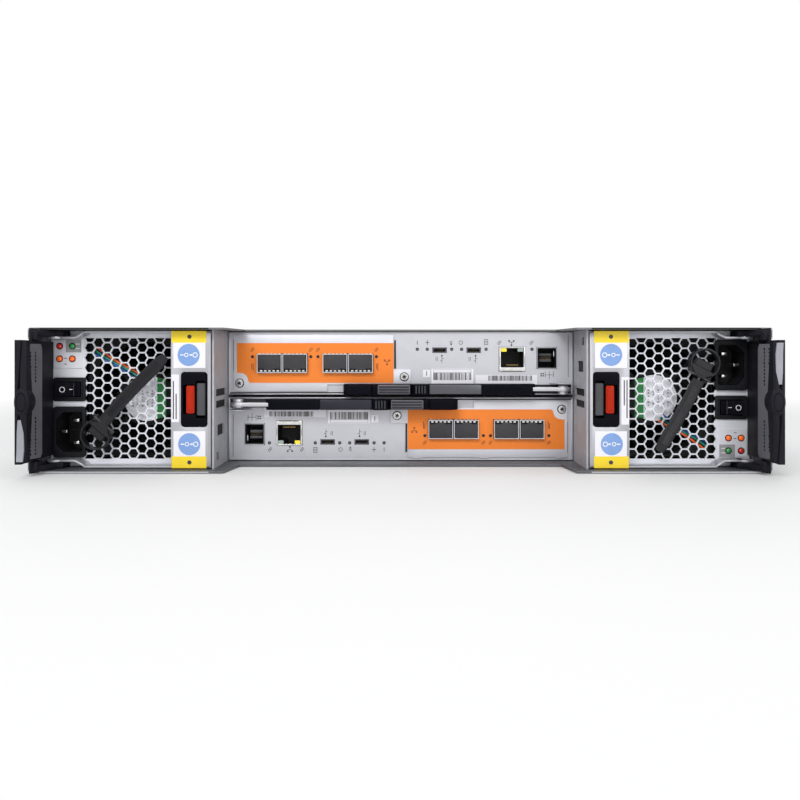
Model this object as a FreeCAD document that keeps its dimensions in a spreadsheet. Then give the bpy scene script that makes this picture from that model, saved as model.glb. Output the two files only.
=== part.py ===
"""Disk shelf enclosure, 2U, twelve drive bays, two power modules and two controllers.

Frame: +X to the right and +Y into the shelf as seen from its connector side, +Z up.
The origin is at the middle of the bottom of the whole shelf.
Every power module and controller is drawn once, as the left and the lower one.
The right and the upper one are the same piece after a half turn about the shelf's long axis.
"""
import FreeCAD, Part
import math
import os
import Sketcher

DIMENSIONS = (
    # enclosure
    ("body_width", 443.0, "width of the sheet metal body"),
    ("body_height", 88.0, "height of the body, two rack units less the gap"),
    ("body_depth", 576.8, "ear face to the rear edge of the cover between the bays"),
    ("rear_reach", 56.0, "how far the grips stand behind that edge"),
    ("front_reach", 27.2, "how far the drive handles stand before the ear face"),
    ("bay_reach", 38.0, "how far floor and cover reach behind that edge at the power bays"),
    ("floor_lip", 13.0, "how far the floor reaches behind that edge at the controllers"),
    ("bay_edge", 107.0, "half width of the notch in floor and cover, at its mouth"),
    ("bay_taper", 4.0, "how much that notch narrows towards its end"),
    ("steel", 1.2, "enclosure sheet"),
    ("controller_bay", 229.2, "clear width of the controller bay"),
    ("divider_reach", 31.0, "how far the dividers reach behind the cover's edge"),
    ("midplane_from_back", 305.0, "cover's rear edge to the midplane board"),
    ("board", 3.2, "midplane board thickness"),
    ("slide_gap", 0.4, "running gap of a module in its bay, on each side"),
    # rack ears
    ("flange_reach", 20.0, "how far a rack ear stands out from the body's side"),
    ("ear_steel", 2.0, "rack ear sheet"),
    ("ear_arm", 60.0, "length of the ear along the body side"),
    ("ear_hole_reach", 11.05, "body's side to the column of rack holes"),
    ("ear_hole_height", 76.2, "distance between the rows of rack holes"),
    ("ear_hole", 6.8, "height of a rack hole"),
    ("ear_slot", 10.3, "length of a rack hole"),
    # power module
    ("module_steel", 1.0, "sheet of the power module and controller cases"),
    ("module_depth", 305.0, "length of the power module's case"),
    ("module_recess", 21.0, "power module's face behind the cover's edge"),
    ("honeycomb", 6.35, "pitch of the hexagonal holes"),
    ("honeycomb_web", 0.85, "metal left between two hexagonal holes"),
    ("grille_start", 21.1, "case side to the first honeycomb column"),
    ("grille_end", 11.6, "honeycomb to the other case side"),
    ("grille_margin", 4.4, "honeycomb to the case top and bottom"),
    ("fan_size", 75.0, "side of the fan's frame"),
    ("fan_depth", 38.0, "depth of the fan"),
    ("fan_bore", 71.0, "bore of the fan's frame"),
    ("fan_hub", 34.0, "hub of the fan"),
    ("fan_gap", 3.0, "grille to the fan's frame"),
    ("fan_side", 7.3, "case side to the fan's frame"),
    ("blade_gap", 1.8, "blade tip to the bore"),
    ("lead", 1.6, "fan lead diameter"),
    ("inlet_width", 20.6, "mains inlet flange, across"),
    ("inlet_height", 32.0, "mains inlet flange, upright"),
    ("inlet_low", 5.4, "case bottom to the inlet flange"),
    ("inlet_mouth_width", 16.4, "socket mouth, across"),
    ("inlet_mouth_height", 25.0, "socket mouth, upright"),
    ("inlet_socket", 16.0, "depth of the socket"),
    ("switch_width", 20.2, "switch flange, across"),
    ("switch_height", 15.0, "switch flange, upright"),
    ("switch_space", 3.2, "inlet flange to the switch flange"),
    ("column_side", 1.8, "case side to the inlet and switch flanges"),
    ("lamp", 3.4, "bore of an indicator hole"),
    ("lamp_panel", 0.5, "how far the field round the indicators is pressed out"),
    # power module's handle
    ("handle_steel", 1.2, "handle sheet"),
    ("handle_recess", 31.0, "handle's plate behind the cover's edge"),
    ("handle_plate", 24.4, "width of the handle's plate"),
    ("handle_gap", 0.6, "handle's plate to the divider"),
    ("handle_high", 1.2, "case's top or bottom to the far run of an arm"),
    ("handle_low", 3.8, "case's top or bottom to the pivot run of an arm"),
    ("handle_joggle", 25.5, "case side to the joggle of an arm"),
    ("pivot_side", 6.0, "case side to the handle's pivot"),
    ("pivot_pin", 3.2, "handle's pivot pin"),
    ("latch_width", 16.4, "latch window, across"),
    ("latch_height", 36.0, "latch window, upright"),
    ("trigger_width", 5.0, "trigger, across"),
    ("trigger_height", 17.0, "trigger, upright"),
    ("trigger_travel", 2.0, "travel of the trigger"),
    ("grip_height", 71.2, "height of the grip"),
    ("grip_thickness", 4.6, "thickness of the grip"),
    ("grip_boss", 17.0, "height of the thumb boss"),
    ("strap_width", 6.8, "cord retaining strap"),
    ("strap_thickness", 1.6, "cord retaining strap"),
    # controller
    ("controller_depth", 287.0, "length of the controller's case"),
    ("controller_recess", 2.0, "controller's face before the cover's edge"),
    ("shelf_steel", 1.2, "sheet between the two controllers"),
    ("bracket", 1.0, "card bracket sheet"),
    ("cage_width", 16.2, "port cage, across"),
    ("cage_height", 12.4, "port cage, upright"),
    ("cage_space", 0.6, "between the two cages of a pair"),
    ("pair_space", 10.2, "between the two pairs of cages"),
    ("cage_wall", 0.5, "port cage sheet"),
    ("cage_length", 46.0, "port cage length"),
    ("cage_proud", 3.0, "port cage before the bracket"),
    ("plug_gap", 0.3, "dust plug to its cage"),
    ("lever_height", 7.0, "height of the lever's grip"),
    ("lever_length", 143.7, "lever, pivot to tip"),
    ("lever_depth", 11.0, "lever's grip, front to back"),
    ("catch_length", 21.0, "sliding thumb catch"),
    ("catch_travel", 4.0, "travel of the catch"),
    # drives
    ("drive_columns", 4, "drive columns"),
    ("drive_rows", 3, "drive rows"),
    ("rail_reach", 4.0, "reach of a drive rail from its wall"),
    ("rail_steel", 1.0, "drive rail sheet"),
    ("drive_length", 220.0, "drive carrier behind its bezel"),
    ("bezel_depth", 20.0, "depth of a drive carrier's bezel"),
)

doc = FreeCAD.newDocument("DiskShelf")
sheet = doc.addObject("Spreadsheet::Sheet", "Sizes")


class Size:
    """A length tied to the sheet: its formula for setExpression, and its value."""

    def __init__(self, formula, value):
        self.formula = formula
        self.value = value

    def __add__(self, other):
        other = as_size(other)
        return Size(f"({self.formula} + {other.formula})", self.value + other.value)

    def __sub__(self, other):
        other = as_size(other)
        return Size(f"({self.formula} - {other.formula})", self.value - other.value)

    def __mul__(self, factor):
        factor = as_size(factor)
        return Size(f"({self.formula} * {factor.formula})", self.value * factor.value)

    def __truediv__(self, divisor):
        divisor = as_size(divisor)
        return Size(f"({self.formula} / {divisor.formula})", self.value / divisor.value)

    def __neg__(self):
        return Size(f"(0 - {self.formula})", -self.value)


def as_size(number):
    """A Size from a Size or a plain number."""
    if isinstance(number, Size):
        return number
    return Size(f"({number:.6f})", float(number))


size = {}
for row, (alias, value, note) in enumerate(DIMENSIONS, start=1):
    sheet.set(f"A{row}", note)
    sheet.set(f"B{row}", str(value))
    sheet.setAlias(f"B{row}", alias)
    size[alias] = Size(f"Sizes.{alias}", float(value))
doc.recompute()


# ---------------------------------------------------------------- helpers

def bind(item, path, length):
    """Ties a property of an object to the sheet."""
    item.setExpression(path, as_size(length).formula)


def new_body(label):
    """An empty PartDesign body."""
    body = doc.addObject("PartDesign::Body", "Body")
    body.Label = label
    return body


def sketch_on(body, plane, place):
    """A sketch on one of the body's origin planes, moved along that plane's own axis.

    place is the sketch's Z, Y or X, for the planes XY_Plane, XZ_Plane and YZ_Plane.
    """
    sketch = body.newObject("Sketcher::SketchObject", "Sketch")
    origin_plane = [item for item in body.Origin.OriginFeatures if item.Role == plane][0]
    sketch.AttachmentSupport = [(origin_plane, "")]
    sketch.MapMode = "FlatFace"
    lift = as_size(place)
    if plane == "XZ_Plane":
        lift = -lift
    bind(sketch, "AttachmentOffset.Base.z", lift)
    return sketch


def tie_point(sketch, geometry, end, across, up):
    """Holds one point of a sketch at its two distances from the sketch's origin."""
    for kind, axis, distance in (("DistanceX", -2, across), ("DistanceY", -1, up)):
        distance = as_size(distance)
        if distance.value == 0:
            sketch.addConstraint(Sketcher.Constraint("PointOnObject", geometry, end, axis))
        else:
            rule = Sketcher.Constraint(kind, -1, 1, geometry, end, distance.value)
            index = sketch.addConstraint(rule)
            sketch.setExpression(f"Constraints[{index}]", distance.formula)


def outline(sketch, points):
    """A closed outline of straight edges whose corners are tied to the sheet."""
    corners = [FreeCAD.Vector(as_size(x).value, as_size(y).value, 0) for x, y in points]
    count = len(corners)
    first = sketch.GeometryCount
    edges = [Part.LineSegment(corners[i], corners[(i + 1) % count]) for i in range(count)]
    sketch.addGeometry(edges)
    for i in range(count):
        following = first + (i + 1) % count
        sketch.addConstraint(Sketcher.Constraint("Coincident", first + i, 2, following, 1))
    for i, (x, y) in enumerate(points):
        tie_point(sketch, first + i, 1, x, y)


def rectangle(sketch, across, up):
    """A rectangle between two places across and two places up."""
    (left, right), (low, high) = across, up
    outline(sketch, ((left, low), (right, low), (right, high), (left, high)))


def circle(sketch, across, up, diameter):
    """A circle tied to the sheet."""
    centre = FreeCAD.Vector(as_size(across).value, as_size(up).value, 0)
    diameter = as_size(diameter)
    number = sketch.addGeometry(Part.Circle(centre, FreeCAD.Vector(0, 0, 1), diameter.value / 2))
    tie_point(sketch, number, 3, across, up)
    index = sketch.addConstraint(Sketcher.Constraint("Diameter", number, diameter.value))
    sketch.setExpression(f"Constraints[{index}]", diameter.formula)


def slot(sketch, across, up, length, width):
    """A slot with round ends, lying along the sketch's first axis."""
    across, up, length, width = (as_size(item) for item in (across, up, length, width))
    half_run = (length - width) / 2
    radius = width.value / 2
    first = sketch.GeometryCount
    normal = FreeCAD.Vector(0, 0, 1)
    for side in (-1, 1):
        centre = FreeCAD.Vector(across.value + half_run.value * side, up.value, 0)
        start = math.pi / 2 if side < 0 else -math.pi / 2
        arc = Part.ArcOfCircle(Part.Circle(centre, normal, radius), start, start + math.pi)
        sketch.addGeometry(arc)
    for side in (-1, 1):
        left = FreeCAD.Vector(across.value - half_run.value, up.value + radius * side, 0)
        right = FreeCAD.Vector(across.value + half_run.value, up.value + radius * side, 0)
        sketch.addGeometry(Part.LineSegment(left, right))
    for arc, arc_end, line, line_end in ((0, 2, 2, 1), (0, 1, 3, 1), (1, 1, 2, 2), (1, 2, 3, 2)):
        rule = Sketcher.Constraint("Tangent", first + arc, arc_end, first + line, line_end)
        sketch.addConstraint(rule)
    tie_point(sketch, first, 3, across - half_run, up)
    tie_point(sketch, first + 1, 3, across + half_run, up)
    for arc in (0, 1):
        index = sketch.addConstraint(Sketcher.Constraint("Diameter", first + arc, width.value))
        sketch.setExpression(f"Constraints[{index}]", width.formula)


def pad(body, sketch, length, onward=True):
    """Adds a sketch's outline as a prism; onward means towards +X, +Y or +Z."""
    item = body.newObject("PartDesign::Pad", "Pad")
    item.Profile = sketch
    bind(item, "Length", length)
    lies_across_y = abs(sketch.AttachmentSupport[0][0].Placement.Rotation.multVec(UP).y) > 0.5
    item.Reversed = onward if lies_across_y else not onward
    sketch.Visibility = False
    return item


def pocket(body, sketch, length, onward=True):
    """Cuts a sketch's outline away as a prism; onward means towards +X, +Y or +Z."""
    item = body.newObject("PartDesign::Pocket", "Pocket")
    item.Profile = sketch
    bind(item, "Length", length)
    lies_across_y = abs(sketch.AttachmentSupport[0][0].Placement.Rotation.multVec(UP).y) > 0.5
    item.Reversed = not onward if lies_across_y else onward
    sketch.Visibility = False
    return item


UP = FreeCAD.Vector(0, 0, 1)


def pad_rectangle(body, x, y, z):
    """Adds a rectangular block, drawn in the XZ plane."""
    sketch = sketch_on(body, "XZ_Plane", y[0])
    rectangle(sketch, x, z)
    return pad(body, sketch, as_size(y[1]) - y[0])


def cut_rectangle(body, x, y, z):
    """Cuts a rectangular block away, drawn in the XZ plane."""
    sketch = sketch_on(body, "XZ_Plane", y[0])
    rectangle(sketch, x, z)
    return pocket(body, sketch, as_size(y[1]) - y[0])


def round_edges(body, radius, wanted):
    """Rounds the edges of the body's last feature that the test picks out."""
    doc.recompute()
    last = body.Tip
    names = [f"Edge{i}" for i, edge in enumerate(last.Shape.Edges, start=1) if wanted(edge)]
    item = body.newObject("PartDesign::Fillet", "Fillet")
    item.Base = (last, names)
    bind(item, "Radius", radius)
    return item


def runs_along(edge, axis):
    """True for a straight edge along X, Y or Z."""
    if edge.Curve.TypeId != "Part::GeomLine":
        return False
    return abs(getattr(edge.Curve.Direction, axis)) > 0.999


def block(x, y, z):
    """A Part::Box between two places on each axis."""
    item = doc.addObject("Part::Box", "Block")
    for name, axis, (low, high) in (("Length", "x", x), ("Width", "y", y), ("Height", "z", z)):
        bind(item, name, as_size(high) - low)
        bind(item, f"Placement.Base.{axis}", low)
    return item


def joined(items):
    """Several objects as one solid."""
    item = doc.addObject("Part::MultiFuse", "Joined")
    item.Shapes = items
    return item


def cut_away(base, tool):
    """One object less another."""
    item = doc.addObject("Part::Cut", "Cut")
    item.Base = base
    item.Tool = tool
    return item


def group(items):
    """Several separate solids as one object."""
    item = doc.addObject("Part::Compound", "Group")
    item.Links = items
    return item


nodes = []


def finish(item, label, turned=False):
    """Names a sub-part, puts it in place and lists it for writing."""
    item.Label = label
    if turned:
        half_turn = FreeCAD.Rotation(FreeCAD.Vector(0, 1, 0), 180)
        item.Placement = FreeCAD.Placement(FreeCAD.Vector(0, 0, 0), half_turn)
        bind(item, "Placement.Base.z", height)
    nodes.append(item)


# ---------------------------------------------------------------- shared places

height = size["body_height"]
middle = height / 2
steel = size["steel"]
half_width = size["body_width"] / 2
inside = half_width - steel
floor_top = steel
cover_under = height - steel
gap = size["slide_gap"]

cover_edge = -(size["body_depth"] + size["front_reach"] - size["rear_reach"]) / 2
ear_face = cover_edge + size["body_depth"]
front_end = ear_face + size["front_reach"]
bay_rear = cover_edge - size["bay_reach"]
grip_rear = cover_edge - size["rear_reach"]
board_face = cover_edge + size["midplane_from_back"]
board_front = board_face + size["board"]

bay_side = size["controller_bay"] / 2
divider_outer = bay_side + steel

case_outer = -(inside - gap)
case_inner = -(divider_outer + gap)
case_low = floor_top + gap
case_high = cover_under - gap
module_face = cover_edge - size["module_recess"]
case_back = module_face + size["module_steel"]
case_end = case_back + size["module_depth"]


# ---------------------------------------------------------------- enclosure

def plate_outline(end, lip):
    """Plan of floor and cover: wide at the power bays, notched at the controllers."""
    mouth = size["bay_edge"]
    throat = mouth - size["bay_taper"]
    notch = cover_edge - lip
    return (
        (-half_width, bay_rear), (-mouth, bay_rear), (-throat, notch), (throat, notch),
        (mouth, bay_rear), (half_width, bay_rear), (half_width, end), (-half_width, end),
    )


def make_tray():
    """Floor and the two side walls, folded from one sheet."""
    body = new_body("chassis_tray")
    sketch = sketch_on(body, "XY_Plane", 0)
    outline(sketch, plate_outline(ear_face, size["floor_lip"]))
    pad(body, sketch, steel)
    for side in (-1, 1):
        wall = sketch_on(body, "YZ_Plane", -half_width if side < 0 else inside)
        rectangle(wall, (bay_rear, ear_face), (0, cover_under))
        pad(body, wall, steel)
    vents = sketch_on(body, "YZ_Plane", -half_width - 1)
    for step in range(5):
        start = board_front + 40 + 36 * step
        rectangle(vents, (start, start + 20), (middle - 2.5, middle + 2.5))
    pocket(body, vents, half_width * 2 + 2)
    finish(body, "chassis_tray")


def make_cover():
    """Top sheet, with a shallow stiffening swage pressed across the drive bays."""
    body = new_body("top_cover")
    sketch = sketch_on(body, "XY_Plane", cover_under)
    outline(sketch, plate_outline(ear_face, as_size(0)))
    pad(body, sketch, steel)
    swage = sketch_on(body, "XY_Plane", height - steel / 2)
    for step in (-1, 1):
        centre = inside / 2 * step
        rectangle(swage, (centre - 60, centre + 60), (board_front + 60, board_front + 68))
        rectangle(swage, (centre - 60, centre + 60), (board_front + 180, board_front + 188))
    pocket(body, swage, steel / 2)
    finish(body, "top_cover")


def make_dividers():
    """The two walls between the controllers and the power modules, with lever slots."""
    walls = []
    for side in (-1, 1):
        body = new_body("bay_divider")
        place = -divider_outer if side < 0 else bay_side
        rear = cover_edge - size["divider_reach"]
        wall = sketch_on(body, "YZ_Plane", place)
        outline(wall, (
            (rear, floor_top), (board_face, floor_top), (board_face, cover_under),
            (rear, cover_under),
        ))
        pad(body, wall, steel)
        slots = sketch_on(body, "YZ_Plane", place)
        rectangle(slots, (rear + 5, rear + 29), (middle + 1.4, middle + 6))
        rectangle(slots, (rear + 5, rear + 29), (middle - 6, middle - 1.4))
        notch = middle - 20 if side < 0 else middle + 20
        rectangle(slots, (rear + 8, rear + 24), (notch - 3.5, notch + 3.5))
        low = middle - 36 if side < 0 else middle + 36
        rectangle(slots, (rear + 6, rear + 12), (low - 2.5, low + 2.5))
        pocket(body, slots, steel)
        walls.append(body)
    finish(group(walls), "bay_dividers")


def make_shelf():
    """The sheet that the upper controller slides on, with its edges folded up."""
    body = new_body("controller_shelf")
    sheet_half = size["shelf_steel"] / 2
    start = cover_edge + 20
    profile = sketch_on(body, "XZ_Plane", start)
    rectangle(profile, (-bay_side, bay_side), (middle - sheet_half, middle + sheet_half))
    pad(body, profile, board_face - start)
    finish(body, "controller_shelf")


def column_pitch():
    """Width of a drive column, wall included."""
    return inside * 2 / size["drive_columns"]


def row_pitch():
    """Height of a drive row."""
    return (cover_under - floor_top) / size["drive_rows"]


def make_drive_cage():
    """Upright walls with rails for every drive, on a back wall that holds the midplane."""
    columns = int(size["drive_columns"].value)
    rows = int(size["drive_rows"].value)
    half_steel = steel / 2
    parts = []
    back = new_body("drive_cage_back")
    pad_rectangle(back, (-inside, inside), (board_front, board_front + steel), (floor_top, cover_under))
    windows = sketch_on(back, "XZ_Plane", board_front)
    for column in range(columns):
        centre = -inside + column_pitch() * (column + 0.5)
        for row in range(rows):
            low = floor_top + row_pitch() * row
            rectangle(windows, (centre - 30, centre + 30), (low + 5, low + row_pitch() - 5))
    pocket(back, windows, steel)
    parts.append(back)
    for wall in range(columns + 1):
        place = -inside + column_pitch() * wall
        left = place - half_steel if wall > 0 else place
        right = place + half_steel if wall < columns else place
        parts.append(block((left, right), (board_front, ear_face), (floor_top, cover_under)))
        for row in range(1, rows):
            level = floor_top + row_pitch() * row
            reach_left = left - size["rail_reach"] if wall > 0 else left
            reach_right = right + size["rail_reach"] if wall < columns else right
            rail = block(
                (reach_left, reach_right), (board_front, ear_face - 6),
                (level - size["rail_steel"] / 2, level + size["rail_steel"] / 2),
            )
            parts.append(rail)
    finish(joined(parts), "drive_cage")


def make_midplane():
    """The board that every module plugs into, with slots for the air."""
    body = new_body("midplane_board")
    margin = as_size(4)
    pad_rectangle(
        body, (-inside + margin, inside - margin), (board_face, board_front),
        (floor_top + margin, cover_under - margin),
    )
    slots = sketch_on(body, "XZ_Plane", board_face)
    for column in range(4):
        centre = -inside + column_pitch() * (column + 0.5)
        for level in (-30, 30):
            rectangle(slots, (centre - 30, centre + 30), (middle + level - 5, middle + level + 5))
    pocket(body, slots, size["board"])
    finish(body, "midplane_board")

    sockets = []
    for side in (-1, 1):
        centre = (case_outer + case_inner) / 2 * side
        sockets.append(block((centre - 30, centre + 30), (case_end + 2, board_face), (middle - 6, middle + 6)))
        level = middle + 20 * side
        for place in (-60, 10):
            socket = block(
                (as_size(place), as_size(place + 50)), (board_face - 12, board_face),
                (level - 5, level + 5),
            )
            sockets.append(socket)
    finish(group(sockets), "midplane_connectors")


def make_ears():
    """Folded steel ears that bolt the enclosure to a rack's posts."""
    ears = []
    thick = size["ear_steel"]
    tip = half_width + size["flange_reach"]
    for side in (-1, 1):
        body = new_body("rack_ear")
        profile = sketch_on(body, "XY_Plane", 0)
        inner = half_width * side
        outer = (half_width + thick) * side
        outline(profile, (
            (inner, ear_face - size["ear_arm"]), (outer, ear_face - size["ear_arm"]),
            (outer, ear_face - thick), (tip * side, ear_face - thick),
            (tip * side, ear_face), (inner, ear_face),
        ))
        pad(body, profile, height)
        holes = sketch_on(body, "XZ_Plane", ear_face - thick)
        for level in (-1, 1):
            slot(
                holes, (half_width + size["ear_hole_reach"]) * side, middle + size["ear_hole_height"] / 2 * level,
                size["ear_slot"], size["ear_hole"],
            )
        pocket(body, holes, thick)
        ears.append(body)
    finish(group(ears), "rack_ears")


def make_drives():
    """The drive carriers: a bare drive on its sled, a vented bezel and a bar handle."""
    number = 0
    for row in range(int(size["drive_rows"].value)):
        for column in range(int(size["drive_columns"].value)):
            number += 1
            wall = steel / 2 + gap
            left = -inside + column_pitch() * column + wall + 0.6
            right = -inside + column_pitch() * (column + 1) - wall - 0.6
            low = floor_top + row_pitch() * row + size["rail_steel"] / 2 + gap
            high = floor_top + row_pitch() * (row + 1) - size["rail_steel"] / 2 - gap
            bezel_back = front_end - 8 - size["bezel_depth"]
            body = new_body("drive")
            pad_rectangle(body, (left, right), (bezel_back, front_end - 8), (low, high))
            sled = sketch_on(body, "XZ_Plane", bezel_back - size["drive_length"])
            outline(sled, (
                (left, low), (right, low), (right, low + 12), (right - 2.6, low + 12),
                (right - 2.6, high - 0.6), (left + 2.6, high - 0.6), (left + 2.6, low + 12),
                (left, low + 12),
            ))
            pad(body, sled, size["drive_length"])
            slots = sketch_on(body, "XZ_Plane", front_end - 14)
            for step in range(4):
                start = left + 8 + 15 * step
                rectangle(slots, (start, start + 11), (high - 8, high - 4))
            pocket(body, slots, 6)
            bar = sketch_on(body, "YZ_Plane", left + 4)
            face = front_end - 8
            outline(bar, (
                (face, low + 2), (front_end - 2, low + 3), (front_end, low + 5),
                (front_end, low + 12), (front_end - 4, low + 15), (face, low + 16),
            ))
            pad(body, bar, right - left - 8)
            finish(body, f"drive_{number:02d}")


# ---------------------------------------------------------------- power module

pivot_x = case_outer + size["pivot_side"]
pivot_y = cover_edge - size["handle_recess"] + 4
column_x = case_outer + size["column_side"]
inlet_z = (case_low + size["inlet_low"], case_low + size["inlet_low"] + size["inlet_height"])
switch_z = (inlet_z[1] + size["switch_space"], inlet_z[1] + size["switch_space"] + size["switch_height"])
inlet_centre = (column_x + size["inlet_width"] / 2, (inlet_z[0] + inlet_z[1]) / 2)
switch_centre = (column_x + size["switch_width"] / 2, (switch_z[0] + switch_z[1]) / 2)
fan_x = case_inner - size["fan_side"] - size["fan_size"] / 2
fan_back = module_face + size["module_steel"] + size["fan_gap"]


def make_module_case(name, turned):
    """Sheet metal box, open behind the grille, with a partition beside the fan."""
    body = new_body("case")
    wall = size["module_steel"]
    pad_rectangle(body, (case_outer, case_inner), (case_back, case_end), (case_low, case_high))
    cut_rectangle(
        body, (case_outer + wall, case_inner - wall), (case_back, case_end - wall),
        (case_low + wall, case_high - wall),
    )
    divide = fan_x - size["fan_size"] / 2 - 1.6
    pad_rectangle(
        body, (divide, divide + wall), (module_face + size["inlet_socket"] + 2.4, case_back + 70),
        (case_low + wall / 2, case_high - wall / 2),
    )
    vents = sketch_on(body, "XZ_Plane", case_end - wall)
    for step in range(8):
        start = case_outer + 9 + 11 * step
        for level in (-1, 1):
            centre = middle + 24 * level
            rectangle(vents, (start, start + 7), (centre - 12, centre + 12))
    pocket(body, vents, wall)
    finish(body, f"{name}_case", turned)


def lamp_places():
    """Centres of the four indicator holes."""
    left = column_x + 3.8
    top = case_high - 9.5
    return [(left + across, top - down) for across in (0, 8) for down in (0, 8)]


def honeycomb_holes():
    """Hexagonal prisms of the grille, staggered and trimmed to its rectangle."""
    pitch = size["honeycomb"].value
    radius = (pitch - size["honeycomb_web"].value) / math.sqrt(3)
    step = pitch * math.sqrt(3) / 2
    left = case_outer.value + size["grille_start"].value
    right = case_inner.value - size["grille_end"].value
    low = case_low.value + size["grille_margin"].value
    high = case_high.value - size["grille_margin"].value
    face = module_face.value
    depth = size["module_steel"].value
    window = Part.makeBox(right - left, depth, high - low, FreeCAD.Vector(left, face, low))
    holes = []
    for column in range(int((right - left) / step) + 1):
        centre_x = left + radius + column * step
        lift = pitch / 2 if column % 2 else 0
        for row in range(int((high - low) / pitch) + 2):
            centre_z = high + 0.3 - lift - row * pitch
            corners = []
            for turn in range(7):
                angle = math.radians(60 * turn)
                across = centre_x + radius * math.cos(angle)
                corners.append(FreeCAD.Vector(across, face, centre_z + radius * math.sin(angle)))
            prism = Part.Face(Part.makePolygon(corners)).extrude(FreeCAD.Vector(0, depth, 0))
            trimmed = prism.common(window)
            if trimmed.Volume > 2 * depth:
                holes.append(trimmed)
    return holes


def make_grille(name, turned):
    """Rear panel: honeycomb over the fan, and cut-outs for inlet, switch and lamps."""
    body = new_body("panel")
    pad_rectangle(body, (case_outer, case_inner), (module_face, case_back), (case_low, case_high))
    lamps = lamp_places()
    raised = size["lamp_panel"]
    pad_rectangle(
        body, (column_x, lamps[2][0] + 6.2), (module_face - raised, module_face),
        (lamps[1][1] - 6.2, lamps[0][1] + 4),
    )
    round_edges(body, raised * 0.8, lambda edge: edge.CenterOfMass.y < module_face.value - raised.value / 2)
    cuts = sketch_on(body, "XZ_Plane", module_face)
    for centre, width, tall in (
        (inlet_centre, size["inlet_width"], size["inlet_height"]),
        (switch_centre, size["switch_width"], size["switch_height"]),
    ):
        half_across = width / 2 - 1.5
        half_up = tall / 2 - 1.5
        rectangle(cuts, (centre[0] - half_across, centre[0] + half_across), (centre[1] - half_up, centre[1] + half_up))
    pocket(body, cuts, size["module_steel"])
    bores = sketch_on(body, "XZ_Plane", module_face - raised)
    for across, up in lamps:
        circle(bores, across, up, size["lamp"])
    pocket(body, bores, size["module_steel"] + raised)
    holes = doc.addObject("Part::Feature", "Honeycomb")
    holes.Shape = Part.makeCompound(honeycomb_holes())
    finish(cut_away(body, holes), f"{name}_grille", turned)


def make_fan(name, turned):
    """Fan frame with its fixed hub and struts, the leads and the turning rotor."""
    half = size["fan_size"] / 2
    frame = new_body("fan_frame")
    pad_rectangle(frame, (fan_x - half, fan_x + half), (fan_back, fan_back + size["fan_depth"]), (middle - half, middle + half))
    round_edges(frame, 4, lambda edge: runs_along(edge, "y"))
    bore = sketch_on(frame, "XZ_Plane", fan_back)
    circle(bore, fan_x, middle, size["fan_bore"])
    pocket(frame, bore, size["fan_depth"])
    hub = doc.addObject("Part::Cylinder", "Hub")
    bind(hub, "Radius", size["fan_hub"] / 2 + 0.5)
    bind(hub, "Height", as_size(3))
    hub.Placement.Rotation = FreeCAD.Rotation(FreeCAD.Vector(1, 0, 0), -90)
    bind(hub, "Placement.Base.x", fan_x)
    bind(hub, "Placement.Base.y", fan_back)
    bind(hub, "Placement.Base.z", middle)
    struts = []
    for turn in range(4):
        strut = doc.addObject("Part::Box", "Strut")
        bind(strut, "Length", size["fan_bore"] / 2 + 1)
        bind(strut, "Width", as_size(3))
        bind(strut, "Height", as_size(3))
        strut.Placement.Rotation = FreeCAD.Rotation(FreeCAD.Vector(0, 1, 0), 45 + 90 * turn)
        bind(strut, "Placement.Base.x", fan_x)
        bind(strut, "Placement.Base.y", fan_back)
        bind(strut, "Placement.Base.z", middle)
        struts.append(strut)
    finish(joined([frame, hub] + struts), f"{name}_fan_housing", turned)

    leads = []
    for step in (-1, 0, 1):
        path_y = fan_back.value - size["lead"].value / 2 - 0.1
        along = FreeCAD.Vector(-math.sqrt(0.5), 0, math.sqrt(0.5))
        aside = FreeCAD.Vector(math.sqrt(0.5), 0, math.sqrt(0.5)) * (size["lead"].value + 0.2) * step
        start = FreeCAD.Vector(fan_x.value, path_y, middle.value) + along * 14 + aside
        end = start + along * (size["fan_size"].value / 2 * 1.15 - 14)
        lead = doc.addObject("Part::Feature", "Lead")
        rim = []
        for turn in range(7):
            angle = math.radians(60 * turn)
            spoke = FreeCAD.Vector(0, math.cos(angle), 0) + along.cross(FreeCAD.Vector(0, 1, 0)) * math.sin(angle)
            rim.append(start + spoke * (size["lead"].value / 2))
        lead.Shape = Part.Face(Part.makePolygon(rim)).extrude(end - start)
        leads.append(lead)
    finish(group(leads), f"{name}_fan_leads", turned)

    make_rotor(name, turned)


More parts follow.
